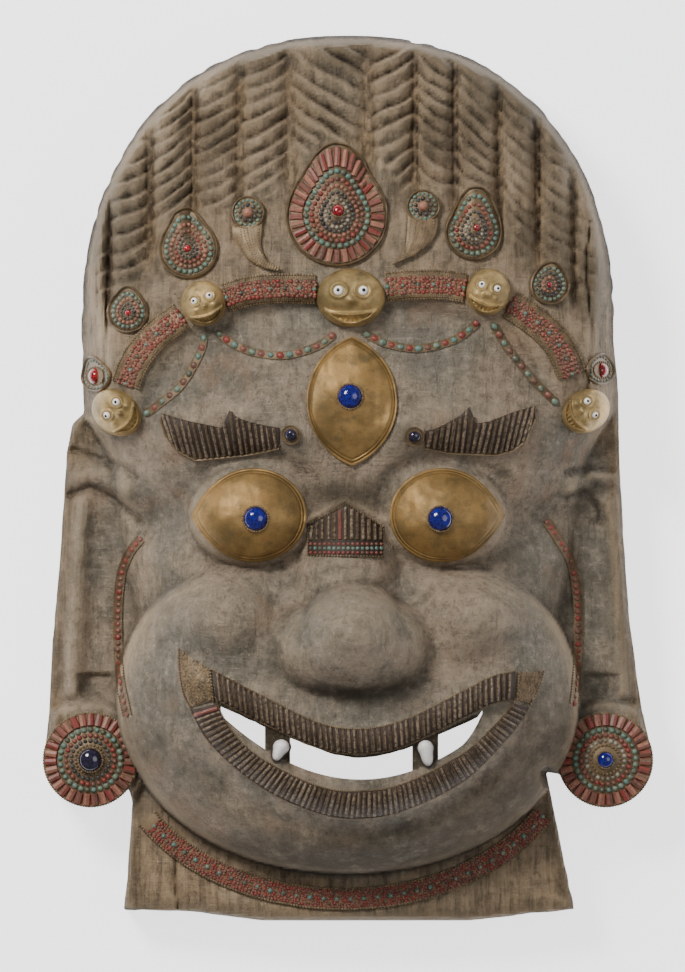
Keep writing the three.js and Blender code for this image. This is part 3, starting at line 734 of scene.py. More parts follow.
def wood_material():
    n = Nodes("dusty_carved_wood")
    tone = n.node("ShaderNodeAttribute", {}, attribute_name="tone")
    recess, ridge, brown = n.node("ShaderNodeSeparateColor", {0: tone.outputs["Color"]}).outputs
    shade = tone.outputs["Alpha"]
    grain = n.noise(240, 6, 0.72, n.stretched(1, 0.07, 1), 0.8)
    scratch = n.noise(420, 3, 0.6, n.stretched(0.1, 1.6, 1), 0.6)
    cloud = n.noise(13, 6, 0.62)
    blotch = n.noise(52, 8, 0.74)
    mottle = n.noise(150, 8, 0.8)
    rust = n.noise(30, 5, 0.6, n.stretched(1, 0.7, 1))
    speck = n.noise(640, 3, 0.65)
    pits = n.noise(210, 6, 0.7)
    dust = n.mix(n.ramp(cloud, 0.38, 0.62), linear(158, 141, 121), linear(127, 121, 108))
    dust = n.stain(dust, blotch, 0.47, 0.66, 0.6, (98, 90, 77))
    dust = n.stain(dust, blotch, 0.46, 0.3, 0.45, (182, 166, 144))
    dust = n.stain(dust, mottle, 0.5, 0.62, 0.55, (92, 83, 70))
    dust = n.stain(dust, mottle, 0.47, 0.36, 0.5, (184, 170, 150))
    dust = n.stain(dust, rust, 0.55, 0.7, 0.4, (150, 118, 92))
    streak = n.plus(n.times(grain, 0.55), n.times(blotch, 0.45))
    bare = n.mix(n.ramp(streak, 0.4, 0.62), linear(174, 148, 114), linear(98, 79, 57))
    colour = n.mix(brown, dust, bare)
    colour = n.stain(colour, grain, 0.54, 0.7, 0.5, (84, 72, 57))
    colour = n.stain(colour, scratch, 0.6, 0.74, 0.35, (190, 176, 156))
    # Painted highlight mixed with rubbed wear, on the crests.
    colour = n.stain(colour, blotch, 0.25, 0.6, ridge, (186, 165, 136))
    # Painted shade mixed with patina, from the tone's shade channel.
    colour = n.stain(colour, blotch, 0.1, 0.55, shade, (68, 60, 47))
    colour = n.stain(colour, pits, 0.15, 0.6, recess, (44, 35, 27))
    colour = n.stain(colour, speck, 0.66, 0.72, 0.6, (58, 49, 40))
    n.bumps((grain, 0.9, 0.003), (mottle, 0.7, 0.0026), (scratch, 0.6, 0.0014), (speck, 0.5, 0.0007))
    roughness = n.plus(0.5, n.times(pits, 0.3))
    return n.surface({"Base Color": colour, "Roughness": roughness, "Specular IOR Level": 0.16})


def brass_material(name, bright, dull, copper):
    n = Nodes(name)
    cloud = n.noise(34, 7, 0.68)
    pits = n.noise(700, 4, 0.6)
    tarnish = n.noise(90, 6, 0.7)
    colour = n.mix(n.ramp(cloud, 0.35, 0.65), linear(*bright), linear(*dull))
    colour = n.stain(colour, tarnish, 0.5, 0.7, 0.6, (84, 74, 50))
    colour = n.stain(colour, tarnish, 0.42, 0.28, 0.5, copper)
    colour = n.stain(colour, pits, 0.55, 0.75, 0.4, (70, 56, 36))
    n.bumps((pits, 0.15, 0.0003), (cloud, 0.2, 0.003), (tarnish, 0.25, 0.001))
    roughness = n.plus(0.38, n.times(tarnish, 0.3))
    return n.surface({"Base Color": colour, "Roughness": roughness, "Metallic": 0.55})


def bronze_material():
    n = Nodes("dark_granular_bronze")
    colour = n.mix(n.ramp(n.noise(160, 5, 0.65), 0.3, 0.7), linear(114, 94, 68), linear(68, 55, 40))
    colour = n.mix(n.times(n.island(), 0.5), colour, linear(140, 118, 86))
    n.bumps((n.noise(1500, 3, 0.6), 0.3, 0.0005))
    return n.surface({"Base Color": colour, "Roughness": 0.5, "Metallic": 0.35})


def bead(name, first, second, third, roughness, dark, dirt=0.55):
    """Beads that differ in colour one by one, with dirt in their pores."""
    n = Nodes(name)
    pick = n.island()
    colour = n.mix(n.ramp(pick, 0.2, 0.5), linear(*first), linear(*second))
    colour = n.mix(n.ramp(pick, 0.62, 0.92), colour, linear(*third))
    colour = n.stain(colour, n.noise(520, 5, 0.75), 0.46, 0.68, dirt, dark)
    n.bumps((n.noise(1100, 4, 0.7), 0.35, 0.0006))
    return n.surface({"Base Color": colour, "Roughness": roughness})


def glass(name, deep, bright):
    n = Nodes(name)
    crackle = n.crackle(420)
    colour = n.mix(n.ramp(crackle, 0.0, 0.1), linear(*bright), linear(*deep))
    colour = n.stain(colour, n.noise(240, 3), 0.5, 0.7, 0.7, bright)
    n.bumps((crackle, 0.3, 0.0004))
    return n.surface({"Base Color": colour, "Roughness": 0.08, "Coat Weight": 0.5})


def bar_material():
    n = Nodes("glassy_bars")
    streak = n.noise(430, 5, 0.75)
    colour = n.mix(n.ramp(n.island(), 0.1, 0.9), linear(92, 76, 58), linear(136, 118, 97))
    colour = n.stain(colour, streak, 0.4, 0.6, 0.85, (44, 34, 25))
    n.bumps((streak, 0.5, 0.0007))
    return n.surface({"Base Color": colour, "Roughness": 0.5, "Specular IOR Level": 0.25})


MATERIALS = {
    "wood": wood_material(),
    "brass": brass_material("dull_brass", (154, 122, 72), (116, 92, 53), (160, 112, 66)),
    "cast_brass": brass_material("cast_brass", (196, 166, 112), (132, 112, 72), (196, 150, 84)),
    "bronze": bronze_material(),
    "coral": bead("coral", (134, 56, 48), (128, 76, 64), (104, 72, 58), 0.42, (62, 44, 35), 0.75),
    "salmon": bead("salmon_coral", (160, 108, 88), (140, 90, 74), (118, 90, 72), 0.45, (74, 55, 43), 0.75),
    "turquoise": bead("turquoise", (98, 126, 114), (114, 128, 110), (84, 88, 73), 0.38, (50, 55, 46), 0.8),
    "slate": bead("slate_beads", (70, 70, 68), (84, 76, 66), (46, 44, 46), 0.35, (30, 27, 25)),
    "pearl": bead("pale_beads", (156, 148, 134), (124, 116, 102), (104, 92, 76), 0.35, (72, 62, 50)),
    "white": bead("white_enamel", (252, 248, 242), (250, 246, 240), (246, 240, 230), 0.2, (188, 170, 146),
                  0.2),
    "black": bead("black_glass", (14, 13, 14), (18, 16, 16), (12, 12, 13), 0.15, (8, 8, 8)),
    "blue_glass": glass("cobalt_glass", (2, 3, 78), (16, 24, 150)),
    "red_glass": glass("garnet_glass", (92, 4, 10), (190, 30, 34)),
    "dark_glass": glass("dark_glass", (14, 10, 26), (46, 38, 72)),
    "bars": bar_material(),
    "recess": bead("dark_pitch", (50, 38, 28), (58, 44, 33), (44, 33, 25), 0.65, (26, 20, 16)),
}


# ---- the carved wood ----

MOUTH_GAPS = ((-89, -58), (-40.5, 45), (63, 94))


def mouth_outline(x0, x1):
    x = np.linspace(x0, x1, max(8, int((x1 - x0) / 3)))
    ragged = 0.8 * (noise(x, 0 * x, 5, 9) - 0.5)
    lower = list(zip(x, opening_bottom(x)))
    upper = list(zip(x, np.maximum(opening_top(x) + ragged, opening_bottom(x) + 3)))
    return lower + upper[::-1]


def box_blur(table, radius):
    """Mean over a square window, by running sums down the columns and then along the rows."""
    size = 2 * radius + 1
    for _ in range(2):
        total = np.cumsum(np.pad(table, ((radius + 1, radius), (0, 0)), mode="edge"), axis=0)
        table = ((total[size:] - total[:-size]) / size).T
    return table


def tone_tables():
    """Fine dirt, rubbed ridges with a painted highlight on their crests, bare brown wood, and broad painted
    shade mixed with dark patina, from 0 to 1.
    """
    z = ground.z
    near = box_blur(box_blur(z, 2), 2)
    wide = box_blur(box_blur(z, 9), 9)
    x, y = np.meshgrid(ground.xs, ground.ys)
    in_hair = ramp(above_hairline(x, y), -28, 4)
    recess = (0.1 + 0.3 * in_hair) * np.clip(near - z - 0.3 * in_hair, 0, 2.5)
    # Lighter crests and, faintly, raised forms: painted highlight mixed with rubbed wear, strongest on the
    # hair strands and the lip above the bridge comb.
    crest = np.clip(z - near - 0.35 * in_hair, 0, None)
    ridge = (0.2 + 1.3 * in_hair) * crest + 0.005 * (1 - in_hair) * np.clip(z - wide, 0, None)
    ridge = np.maximum(ridge, 0.85 * stroke(x, y, BRIDGE_EDGE, 2.0))
    locks = ramp(z - box_blur(box_blur(z, 7), 7), -3.5, 1.5)
    inside = edge_distance(x, y)
    edge_brown = 0.9 * (1 - ramp(inside, 3, 14))
    jaw = np.hypot(x / JAW_HALF_WIDTH, (y - JAW_Y) / JAW_HALF_HEIGHT)
    neck_brown = 0.8 * ramp(jaw, 1.0, 1.05) * ramp(-y, 215, 245)
    side_brown = 0.7 * ramp(np.abs(x), 150, 172) * ramp(y, 30, 80)
    crown_brown = 0.55 * ramp(y + 0.004 * x * x, 130, 160)
    root_brown = in_hair * (0.95 - 0.6 * locks)
    brown = np.maximum.reduce([root_brown, edge_brown, neck_brown, side_brown, crown_brown])
    brown *= 0.55 + 0.45 * noise(x, y, 26, 2)
    # Painted shade mixed with patina: the chin darker towards its lower edge.
    chin = 0.9 * ramp(-y, 226, 266) * (1 - ramp(jaw, 0.96, 1.04))
    # Painted shade mixed with patina: the jaw darker, most on the side turned away from the key light.
    jaw_side = 0.75 * span(jaw, 0.66, 0.9, 1.0, 1.04) * ramp(-y, 120, 190)
    jaw_side *= 0.45 + 0.55 * ramp(x - 0.7 * y, 40, 150)
    root_of_nose = 0.85 * bump(x + 1, 34) * bump(y + 12, 13)
    hair_shade = 0.65 * in_hair * locks * (0.35 + 0.65 * ramp(noise(x, y, 34, 12), 0.25, 0.65))
    # Painted shade: the steep slope round the outline is darkened against the light it gets from the glowing
    # floor.
    edge_shade = 0.5 * (1 - ramp(inside, 3, 13))
    # Painted shadow under the nose.
    under_nose = 0.7 * bump(x - 4, 44) * bump(y + 150 - 0.006 * (x - 4) ** 2, 9)
    posts = (y > opening_bottom(x) + 0.5) & (y < opening_top(x) + 2.5) & (np.abs(x - 2) < 96)
    # The shade channel: painted shade and shadow (chin, jaw, outline slope, under the nose) mixed with
    # patina, plus the darker hair locks, the spot between the brows and the mouth posts.
    shade = np.maximum.reduce([chin, jaw_side, root_of_nose, hair_shade, edge_shade, under_nose, posts])
    return recess.clip(0, 1), ridge.clip(0, 0.85), brown.clip(0, 1), shade.clip(0, 1)


def worn_outline():
    """The outline, counter-clockwise, with small chips that are deepest round the hair."""
    closed = np.array(OUTLINE + OUTLINE[:1])
    line = even(closed, round(path_length(closed) / 2.4))[:-1]
    inward = np.roll(line, -1, 0) - np.roll(line, 1, 0)
    inward = np.stack([inward[:, 1], -inward[:, 0]], 1) / np.linalg.norm(inward, axis=1, keepdims=True)
    x, y = line.T
    deep = 0.6 + 1.9 * ramp(y, 60, 110) + 1.0 * ramp(-y, 270, 300)
    chip = np.maximum(0, noise(x, y, 8, 6) - 0.35) + 0.9 * np.maximum(0, noise(x, y, 21, 7) - 0.5)
    disc = np.hypot(np.abs(x) - DISC_X, y - DISC_Y) < DISC_RADIUS + 2
    depth = np.where(disc | (np.abs(y) > 308) | (np.abs(x) > 208), 0, deep * chip)
    return (line + inward * depth[:, None])[::-1].tolist()


def carve_mask():
    mask = block("carved_mask_wood", ground.xs, ground.ys, ground.z, 0.0)
    cut(mask, prism("outline", worn_outline(), -5, 260), "INTERSECT")
    xs = np.arange(-168, 168 + HOLLOW_CELL, HOLLOW_CELL)
    ys = np.arange(-266, 294 + HOLLOW_CELL, HOLLOW_CELL)
    cut(mask, block("hollow", xs, ys, cavity_height(*np.meshgrid(xs, ys)), -20), "DIFFERENCE")
    for x0, x1 in MOUTH_GAPS:
        cut(mask, prism("gap", mouth_outline(x0, x1), -30, 260), "DIFFERENCE")
    mesh = mask.data
    mesh.materials.clear()
    mesh.materials.append(MATERIALS["wood"])
    smooth(mesh, 50)
    places = np.empty(3 * len(mesh.vertices))
    mesh.vertices.foreach_get("co", places)
    x, y, z = places.reshape(-1, 3).T / MM
    front = np.abs(z - ground(x, y)) < 1.5
    tone = np.zeros((len(x), 4))
    # Vertices off the carved front (walls and back) get fixed tones: a little dirt, bare brown wood and 0.3
    # of painted shade.
    for channel, (table, behind) in enumerate(zip(tone_tables(), (0.15, 0, 0.9, 0.3))):
        tone[:, channel] = np.where(front, ground.lookup(table, x, y), behind)
    mesh.attributes.new("tone", "FLOAT_COLOR", "POINT").data.foreach_set("color", tone.ravel())
    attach(mask, "root")
    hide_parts("carved_mask")


carve_mask()


# ---- eyes ----

def raised(surface, amount):
    return lambda x, y: surface(x, y) + amount


def dome_height(top, rim):
    """Height over the wood of a domed plate with a double line engraved round it."""
    def height(share, angle):
        crown = rim + (top - rim) * np.clip(1 - share ** 2.4, 0, 1)
        dent = 0.35 * np.sin(5 * angle + 3 * share) * share
        return crown + dent - 0.9 * bump(share - 0.955, 0.014) - 0.7 * bump(share - 0.9, 0.012)
    return height


def cabochon(name, place, radius, finish, surface, replaces):
    """A round stone in a collar of fine grains, standing on a plate."""
    piece = Piece(name)
    seat = float(surface(*place))
    flat = lambda x, y: 0 * x + seat
    set_stone(piece, place, radius, radius * 0.62, finish, flat)
    ring_of_grains(piece, place, circle(radius), -0.7, 1.7, 1.0, flat)
    piece.finish(replaces, "glass")


def eye_plate(name, centre, radius, stone):
    piece = Piece(f"{name}_plate_brass")
    polar_plate(piece, centre, radius, dome_height(6.8, 2.4), "brass", 120, 64)
    piece.finish(f"{name}_plate", "brass")
    cabochon(f"{name}_stone_glass", stone, 8.2, "blue_glass", raised(ground, 6.4), f"{name}_stone")


def eye_outline(side):
    """An oval with a crisp outer corner."""
    def radius(angle):
        away = np.arccos(np.clip(side * np.cos(angle), -1, 1))
        return oval(37, 33)(angle) + 7 * np.clip(1 - away / 0.75, 0, 1) ** 2
    return radius


def vesica(half_width, half_height):
    """Two upright arcs that meet in a point above and below."""
    arc = (half_width ** 2 + half_height ** 2) / (2 * half_width)
    shift = arc - half_width
    return lambda angle: np.sqrt(arc ** 2 - (shift * np.sin(angle)) ** 2) - shift * np.abs(np.cos(angle))


eye_plate("left_eye", (-66, EYE_Y), eye_outline(-1), (-64.5, -28.5))
eye_plate("right_eye", (66, EYE_Y), eye_outline(1), (64.5, -28.5))
eye_plate("third_eye", (2.8, 53.8), vesica(31.5, 45.5), (1.4, 57))


# ---- crown heads ----

def smile_line(u, depth):
    """The curve of a little head's upper or lower lip."""
    return -0.38 - depth * (1 - (u / 0.8) ** 2)


HEAD_EYE_U, HEAD_EYE_V = 0.36, 0.24
UPPER_LIP, LOWER_LIP = 0.2, 0.5


def head_height_map(u, v):
    """Height of a little grinning head over its outline, u and v from -1 to 1."""
    dome = 14.5 * np.clip(1 - (u * u + v * v) ** 1.35, 0, 1) ** 0.5 + 1.5
    sockets = sum(1.1 * bump(np.hypot(u - s * HEAD_EYE_U, v - HEAD_EYE_V) - 0.24, 0.05) for s in (-1, 1))
    nose_bump = 3.4 * bump(np.hypot(u / 0.17, (v + 0.1) / 0.15), 1)
    cheeks = sum(1.8 * bump(np.hypot((u - s * 0.5) / 0.2, (v + 0.2) / 0.16), 1) for s in (-1, 1))
    wide = 1 - ramp(np.abs(u), 0.74, 0.84)
    under, over = smile_line(u, UPPER_LIP) - v, v - smile_line(u, LOWER_LIP)
    lips = 2.4 * (bump(under, 0.06) + bump(over, 0.06))
    within = ramp(under, 0.03, 0.08) * ramp(over, 0.03, 0.08)
    teeth = 0.8 * within * np.cos(u * 40) * (1 - np.abs(u))
    return dome + sockets + nose_bump + cheeks + (lips - within + teeth) * wide


def crown_head(number, x, y, rx, ry, turn):
    piece = Piece(f"crown_head_{number}")
    c, s = math.cos(turn), math.sin(turn)
    seat = float(ground(x, y))

    def base(px, py):
        return 0.45 * ground(px, py) + 0.55 * seat

    def height(share, angle):
        return head_height_map(share * np.cos(angle - turn), share * np.sin(angle - turn))

    def face(px, py):
        dx, dy = px - x, py - y
        return base(px, py) + head_height_map((dx * c + dy * s) / rx, (dy * c - dx * s) / ry)

    polar_plate(piece, (x, y), oval(rx, ry, turn), height, "cast_brass", 110, 44, base, skirt=8)
    size = 0.15 * (rx + ry) / 2
    for u in (-HEAD_EYE_U * rx, HEAD_EYE_U * rx):
        v = HEAD_EYE_V * ry
        place = (x + u * c - v * s, y + u * s + v * c)
        set_stone(piece, place, size, size * 0.8, "white", face, -0.3)
        set_stone(piece, place, size * 0.42, size * 0.4, "black", face, size * 0.52)
    piece.finish(f"crown_skull_{number}", "brass")


HEADS = (
    (-162, 46, 15.5, 18.7, 0.96),
    (-101, 122, 15.5, 16, 0.35),
    (2, 126, 24, 20.6, 0),
    (98, 130, 15.5, 16.5, -0.26),
    (166.6, 47, 15, 17.7, -1.05),
)
for number, head in enumerate(HEADS, 1):
    crown_head(number, *head)


# ---- beaded strips ----

def rungs_along(path, width):
    return np.stack([beside(path, width / 2), beside(path, -width / 2)], 1)


def grains_along(piece, path, pitch, radius, surface):
    line = even(path, max(3, round(path_length(path) / pitch)))
    scatter(piece, GRAIN, line, radius, "bronze", surface)


def beads_along(piece, path, pitch, size, finish, surface, jitter=0.12):
    line = even(path, max(2, round(path_length(path) / pitch)))
    sizes = np.array(size) * (1 + jitter * (rng.random((len(line), 1)) - 0.5) * 2)
    scatter(piece, BEAD, line, sizes, finish, surface, direction(line))


def scattered_along(piece, path, offset, pitch, size, finish, surface, stray=0.5):
    """Beads beside a path, each a little out of line."""
    line = even(beside(path, offset), max(2, round(path_length(path) / pitch)))
    line += stray * (rng.random(line.shape) - 0.5) * 2
    scatter(piece, BEAD, line, size * (0.8 + 0.4 * rng.random(len(line))), finish, surface)


def crown_band(number, points):
    piece = Piece(f"crown_band_{number}_beaded")
    path = smooth_path(points, 26)
    plate(piece, rungs_along(path, 20.4), 2.2, "bronze", 9)
    top = raised(ground, 1.9)
    for side in (-1, 1):
        for offset, radius in ((9.7, 1.15), (8.2, 0.8), (7.0, 0.8)):
            grains_along(piece, beside(path, side * offset), 1.75 * radius, radius, top)
        for offset in (1.7, 4.9):
            scattered_along(piece, path, side * offset, 3.0, 1.5, "coral", top)
    for offset in (-3.3, 0, 3.3):
        scattered_along(piece, path, offset, 2.6, 1.2, "salmon", top, 0.8)
    beads_along(piece, path, 9.0, (1.7, 1.7, 2.3), "turquoise", top)
    piece.finish(f"crown_band_{number}", "mosaic")


CROWN_BANDS = (
    [(-155.5, 66), (-150, 80), (-142, 92), (-131, 103), (-117, 113)],
    [(-85, 126), (-70, 130.5), (-50, 132.5), (-23.5, 132)],
    [(27.5, 133.5), (45, 135), (65, 135), (81, 133)],
    [(114.5, 121), (128, 112), (141, 101), (150.5, 88), (156.5, 73)],
)
for number, points in enumerate(CROWN_BANDS, 1):
    crown_band(number, points)


def swag(place, points):
    piece = Piece(f"{place}_swag_beads")
    path = smooth_path(points, 34)
    plate(piece, rungs_along(path, 5.4), 1.2, "bronze", 3, edge=0.3)
    top = raised(ground, 0.9)
    line = even(path, round(path_length(path) / 6.1))
    turn = direction(line)
    for edge in (-2.5, 2.5):
        grains_along(piece, beside(path, edge), 1.3, 0.6, top)
    for start, finish, height in ((0, "turquoise", 1.9), (1, "coral", 1.7)):
        chosen = line[start::2]
        sizes = np.array((2.6, 2.3, height)) * (0.88 + 0.24 * rng.random((len(chosen), 1)))
        scatter(piece, BEAD, chosen, sizes, finish, top, turn[start::2])
    piece.finish(f"{place}_swag", "mosaic")


SWAGS = {
    "left_inner": [(-90, 101), (-80, 93.5), (-64, 87.5), (-43, 86), (-22, 92), (-11, 99.5)],
    "right_inner": [(13, 100.5), (27, 94), (48, 90.5), (70, 95), (82, 101.5), (89.5, 108)],
    "left_outer": [(-101, 98), (-103.5, 88), (-116, 66), (-134, 50.5), (-141, 45.5)],
    "right_outer": [(102.5, 106), (111, 92), (126, 73), (135, 63), (145, 53.5)],
}
for place, points in SWAGS.items():
    swag(place, points)


# ---- jewels ----

def setting(rim, rise):
    """Height of a setting, which rises from its rim towards the centre."""
    return lambda share, angle: rim + rise * np.clip(1 - share, 0, 1) ** 1.2


def setting_surface(centre, radius, rim, rise):
    def height(x, y):
        dx, dy = x - centre[0], y - centre[1]
        angle = np.arctan2(dy, dx)
        return ground(x, y) + setting(rim, rise)(np.hypot(dx, dy) / radius(angle), angle)
    return height


def ring_of_beads(piece, centre, radius, inset, size, finish, surface):
    ring = ring_path(centre, radius, inset, pitch=2.12 * size)
    scatter(piece, BEAD, ring, size * (0.9 + 0.2 * rng.random(len(ring))), finish, surface)


def ring_of_tubes(piece, centre, radius, outer, inner, count, surface, thick=2.35):
    """Short tubes that point at the centre."""
    ends = [ring_path(centre, radius, inset, count=count) for inset in (outer, inner)]
    paths = np.stack([between(*ends, share) for share in np.linspace(0, 1, 4)], 1)
    for start, finish in enumerate(("coral", "salmon")):
        sweep(piece, paths[start::2], half_round(thick, thick * 0.95), finish, surface)


def set_jewel(name, number, centre, radius, rise, rings, stone, tubes=None):
    """rings lists (inset, bead size, finish); stone is (x, y, radius)."""
    piece = Piece(name)
    surface = setting_surface(centre, radius, 1.8, rise)
    polar_plate(piece, centre, radius, setting(1.8, rise), "bronze", 60, 12)
    rim = ring_path(centre, radius, 0.2, count=120)
    sweep(piece, rim, half_round(1.0, 1.9), "bronze", surface, closed=True)
    ring_of_grains(piece, centre, radius, 1.9, 1.3, 0.75, surface, -0.1)
    if tubes:
        ring_of_tubes(piece, centre, radius, *tubes, surface)
    for inset, size, finish in rings:
        ring_of_beads(piece, centre, radius, inset, size, finish, surface)
    place, size = stone[:2], stone[2]
    ring_of_grains(piece, place, circle(size), -0.6, 1.5, 0.95, surface)
    set_stone(piece, place, size, size * 0.8, "red_glass", surface)
    piece.finish(f"crown_jewel_{number}", "mosaic")


def lean_drop(radius, tip, lean):
    return drop(radius, radius, math.pi / 2 + lean, tip, 8)


CENTRE_RINGS = (
    (13.6, 2.1, "turquoise"), (17.4, 1.9, "coral"), (20.7, 1.6, "salmon"),
    (23.8, 1.6, "slate"), (26.8, 1.5, "pearl"), (29.6, 1.4, "slate"),
)
LEFT_LARGE_RINGS = (
    (4.3, 1.9, "turquoise"), (7.9, 1.6, "salmon"), (11.1, 1.5, "coral"),
    (14.0, 1.3, "slate"), (16.6, 1.2, "slate"),
)
RIGHT_LARGE_RINGS = (
    (4.2, 1.9, "turquoise"), (7.8, 1.7, "coral"), (11.0, 1.5, "slate"),
    (13.8, 1.3, "pearl"), (16.4, 1.2, "slate"),
)
LEFT_SMALL_RINGS = (
    (3.6, 1.6, "turquoise"), (6.6, 1.4, "salmon"), (9.2, 1.2, "slate"), (11.4, 1.0, "slate"),
)
RIGHT_SMALL_RINGS = (
    (3.4, 1.5, "turquoise"), (6.3, 1.4, "slate"), (8.9, 1.2, "salmon"), (11.0, 1.0, "slate"),
)
END_RINGS = ((1.9, 1.1, "turquoise"),)
CENTRE_TUBES = (2.4, 11.2, 36)
JEWELS = (
    ("centre", 4, (-7.7, 183.5), lean_drop(35, 16, 0), 9, CENTRE_RINGS, (-7, 187, 4.2), CENTRE_TUBES),
    ("left_large", 3, (-111.5, 160), lean_drop(20, 9, 0.1), 6, LEFT_LARGE_RINGS, (-112.5, 160.5, 2.6)),
    ("right_large", 5, (88, 172.5), lean_drop(19.6, 12, -0.08), 6, RIGHT_LARGE_RINGS, (90, 175, 2.4)),
    ("left_small", 2, (-154, 116), lean_drop(13.8, 4, 0), 4, LEFT_SMALL_RINGS, (-154, 115.5, 2.2)),
    ("right_small", 6, (141, 135), lean_drop(13.3, 3, -0.16), 4, RIGHT_SMALL_RINGS, (141.2, 135, 2.0)),
    ("left_end", 1, (-176.5, 71), lean_drop(10, 5, 0.32), 3, END_RINGS, (-177.5, 71.5, 5.6)),
    ("right_end", 7, (177, 75.6), lean_drop(9.6, 2, -0.1), 3, END_RINGS, (178, 75.6, 5.2)),
)
for place, *jewel in JEWELS:
    set_jewel(f"{place}_jewel", *jewel)


def hook(name, centre, tail):
    """A bead cluster with a comma-shaped granular tail below it."""
    piece = Piece(f"{name}_beaded")
    rungs = smooth_rungs(tail, 22)
    plate(piece, rungs, 4.6, "bronze", 7, edge=1.6)
    for share in (0.12, 0.88):
        grains_along(piece, between(rungs[:, 0], rungs[:, 1], share), 2.0, 1.1, raised(ground, 3.4))
    for share in (0.28, 0.39, 0.5, 0.61, 0.72):
        grains_along(piece, between(rungs[:, 0], rungs[:, 1], share), 1.7, 0.8, raised(ground, 4.2))
    outline = circle(11.2)
    surface = setting_surface(centre, outline, 3.2, 5)
    polar_plate(piece, centre, outline, setting(3.2, 5), "bronze", 40, 8)
    rim = ring_path(centre, outline, 0.2, count=60)
    sweep(piece, rim, half_round(0.9, 1.5), "bronze", surface, closed=True)
    ring_of_beads(piece, centre, outline, 2.6, 1.5, "turquoise", surface)
    ring_of_beads(piece, centre, outline, 5.8, 1.7, "slate", surface)
    set_stone(piece, centre, 3.4, 3.2, "salmon", surface)
    piece.finish(name, "mosaic")


hook("left_hook_ornament", (-70, 185.5), [
    ((-60, 181), (-81, 176)), ((-60.5, 172), (-80, 168)), ((-61, 163), (-76, 161)),
    ((-58, 155), (-70, 153)), ((-53, 149.5), (-60, 147)), ((-48.5, 146.8), (-49.5, 145.2)),
])
hook("right_hook_ornament", (52.5, 190), [
    ((62.5, 184), (42, 186)), ((62.5, 177), (41.5, 176)), ((60, 168), (41, 167)),
    ((54.5, 161), (39.5, 159)), ((47.5, 156), (36.5, 153)), ((34, 151.5), (31.5, 149.5)),
])


# ---- combs of glassy bars ----

def through(points, x):
    px, py = np.array(points, float).T
    order = np.argsort(px)
    return np.interp(x, px[order], py[order])


def bars(piece, feet, tops, radius, surface, finish="bars"):
    """One tube from each foot to its top."""
    paths = between(feet[:, None], tops[:, None], np.linspace(0, 1, 6)[None, :, None])
    sweep(piece, paths, half_round(radius, radius * 1.15), finish, surface)


def comb_plate(piece, upper, lower, x0, x1):
    x = np.linspace(x0, x1, 46)
    rungs = np.stack([np.stack([x, through(edge, x)], 1) for edge in (upper, lower)], 1)
    plate(piece, rungs, 1.6, "recess", 7)
    return rungs


def eyebrow(name, upper, lower, x0, x1, lean):
    piece = Piece(f"{name}_comb")
    rungs = comb_plate(piece, upper, lower, x0, x1)
    foot_x = np.linspace(x0 + (8 if lean > 0 else 2), x1 - (2 if lean > 0 else 5), 19)
    out = np.abs(foot_x) / 130
    tops_x = np.clip(foot_x - lean * (1 + 7.5 * out ** 2), x0 + 1.2, x1 - 1.2)
    feet = np.stack([foot_x, through(lower, foot_x) + 1.4], 1)
    tops = np.stack([tops_x, through(upper, tops_x) - 0.6], 1)
    top = raised(ground, 1.2)
    bars(piece, feet, tops, 1.4, top)
    line = even(rungs[:, 1], 60)
    sweep(piece, line, half_round(0.8, 1.4), "bronze", top)
    grains_along(piece, line + [0, 1.5], 1.3, 0.55, top)
    piece.finish(name, "inlay")


BROW_TOP = [
    (52, 33), (59, 33.5), (69, 38), (79, 44), (85, 50), (89, 38), (99, 39.4), (115, 46), (133, 51),
]
BROW_FOOT = [(52, 21), (59, 20), (72, 17.5), (88, 17), (103, 16), (115, 19), (124, 26), (131, 41)]
LEFT_BROW_TOP = [
    (-48, 35), (-57, 36.5), (-68, 39), (-77, 42), (-83, 47.5), (-88, 35), (-110, 39.5), (-133, 46),
]
LEFT_BROW_FOOT = [
    (-48, 21), (-54, 19.5), (-72, 16), (-88, 14.5), (-107, 12.5), (-119, 19), (-128, 30), (-131, 40),
]
eyebrow("left_eyebrow", LEFT_BROW_TOP, LEFT_BROW_FOOT, -131, -48, 1)
eyebrow("right_eyebrow", BROW_TOP, BROW_FOOT, 54, 131, -1)


def brow_stone(name, place):
    piece = Piece(f"{name}_glass")
    cup = lambda share, angle: 2.4 - 0.8 * bump(share - 0.75, 0.1)
    polar_plate(piece, place, circle(6.9), cup, "bronze", 36, 10)
    set_stone(piece, place, 4.2, 3.0, "dark_glass", raised(ground, 2.0))
    ring_of_grains(piece, place, circle(4.2), -0.5, 1.4, 0.8, raised(ground, 2.0))
    piece.finish(name, "glass")


brow_stone("left_brow_stone", (-40, 30))
brow_stone("right_brow_stone", (46.5, 28.7))

BRIDGE_TOP = [(-28, -32.5), (-14, -26), (-1.4, -18), (12, -26), (24.5, -34)]
BRIDGE_FOOT = [(-28, -54), (24.5, -55)]
RED_BAR = 5


def bridge():
    piece = Piece("bridge_comb")
    comb_plate(piece, BRIDGE_TOP, BRIDGE_FOOT, -28, 24.5)
    x = np.linspace(-25.5, 22.5, 13)
    feet = np.stack([x, -43.5 + 0 * x], 1)
    tops = np.stack([x, through(BRIDGE_TOP, x) - 1.8], 1)
    red = np.arange(len(x)) == RED_BAR
    top = raised(ground, 1.2)
    bars(piece, feet[~red], tops[~red], 1.5, top)
    bars(piece, feet[red], tops[red], 1.5, top, "coral")
    for y, finish, size in ((-46.2, "coral", 1.3), (-49.2, "turquoise", 1.5), (-52.2, "coral", 1.3)):
        beads_along(piece, np.array([(-26, y), (23, y)]), 3.0, (size, size, size), finish, top)
    border = BRIDGE_TOP[::2] + BRIDGE_FOOT[::-1] + BRIDGE_TOP[:1]
    grains_along(piece, np.array(border), 2.0, 0.9, top)
    piece.finish("bridge_ornament", "inlay")


bridge()


# ---- mouth ----

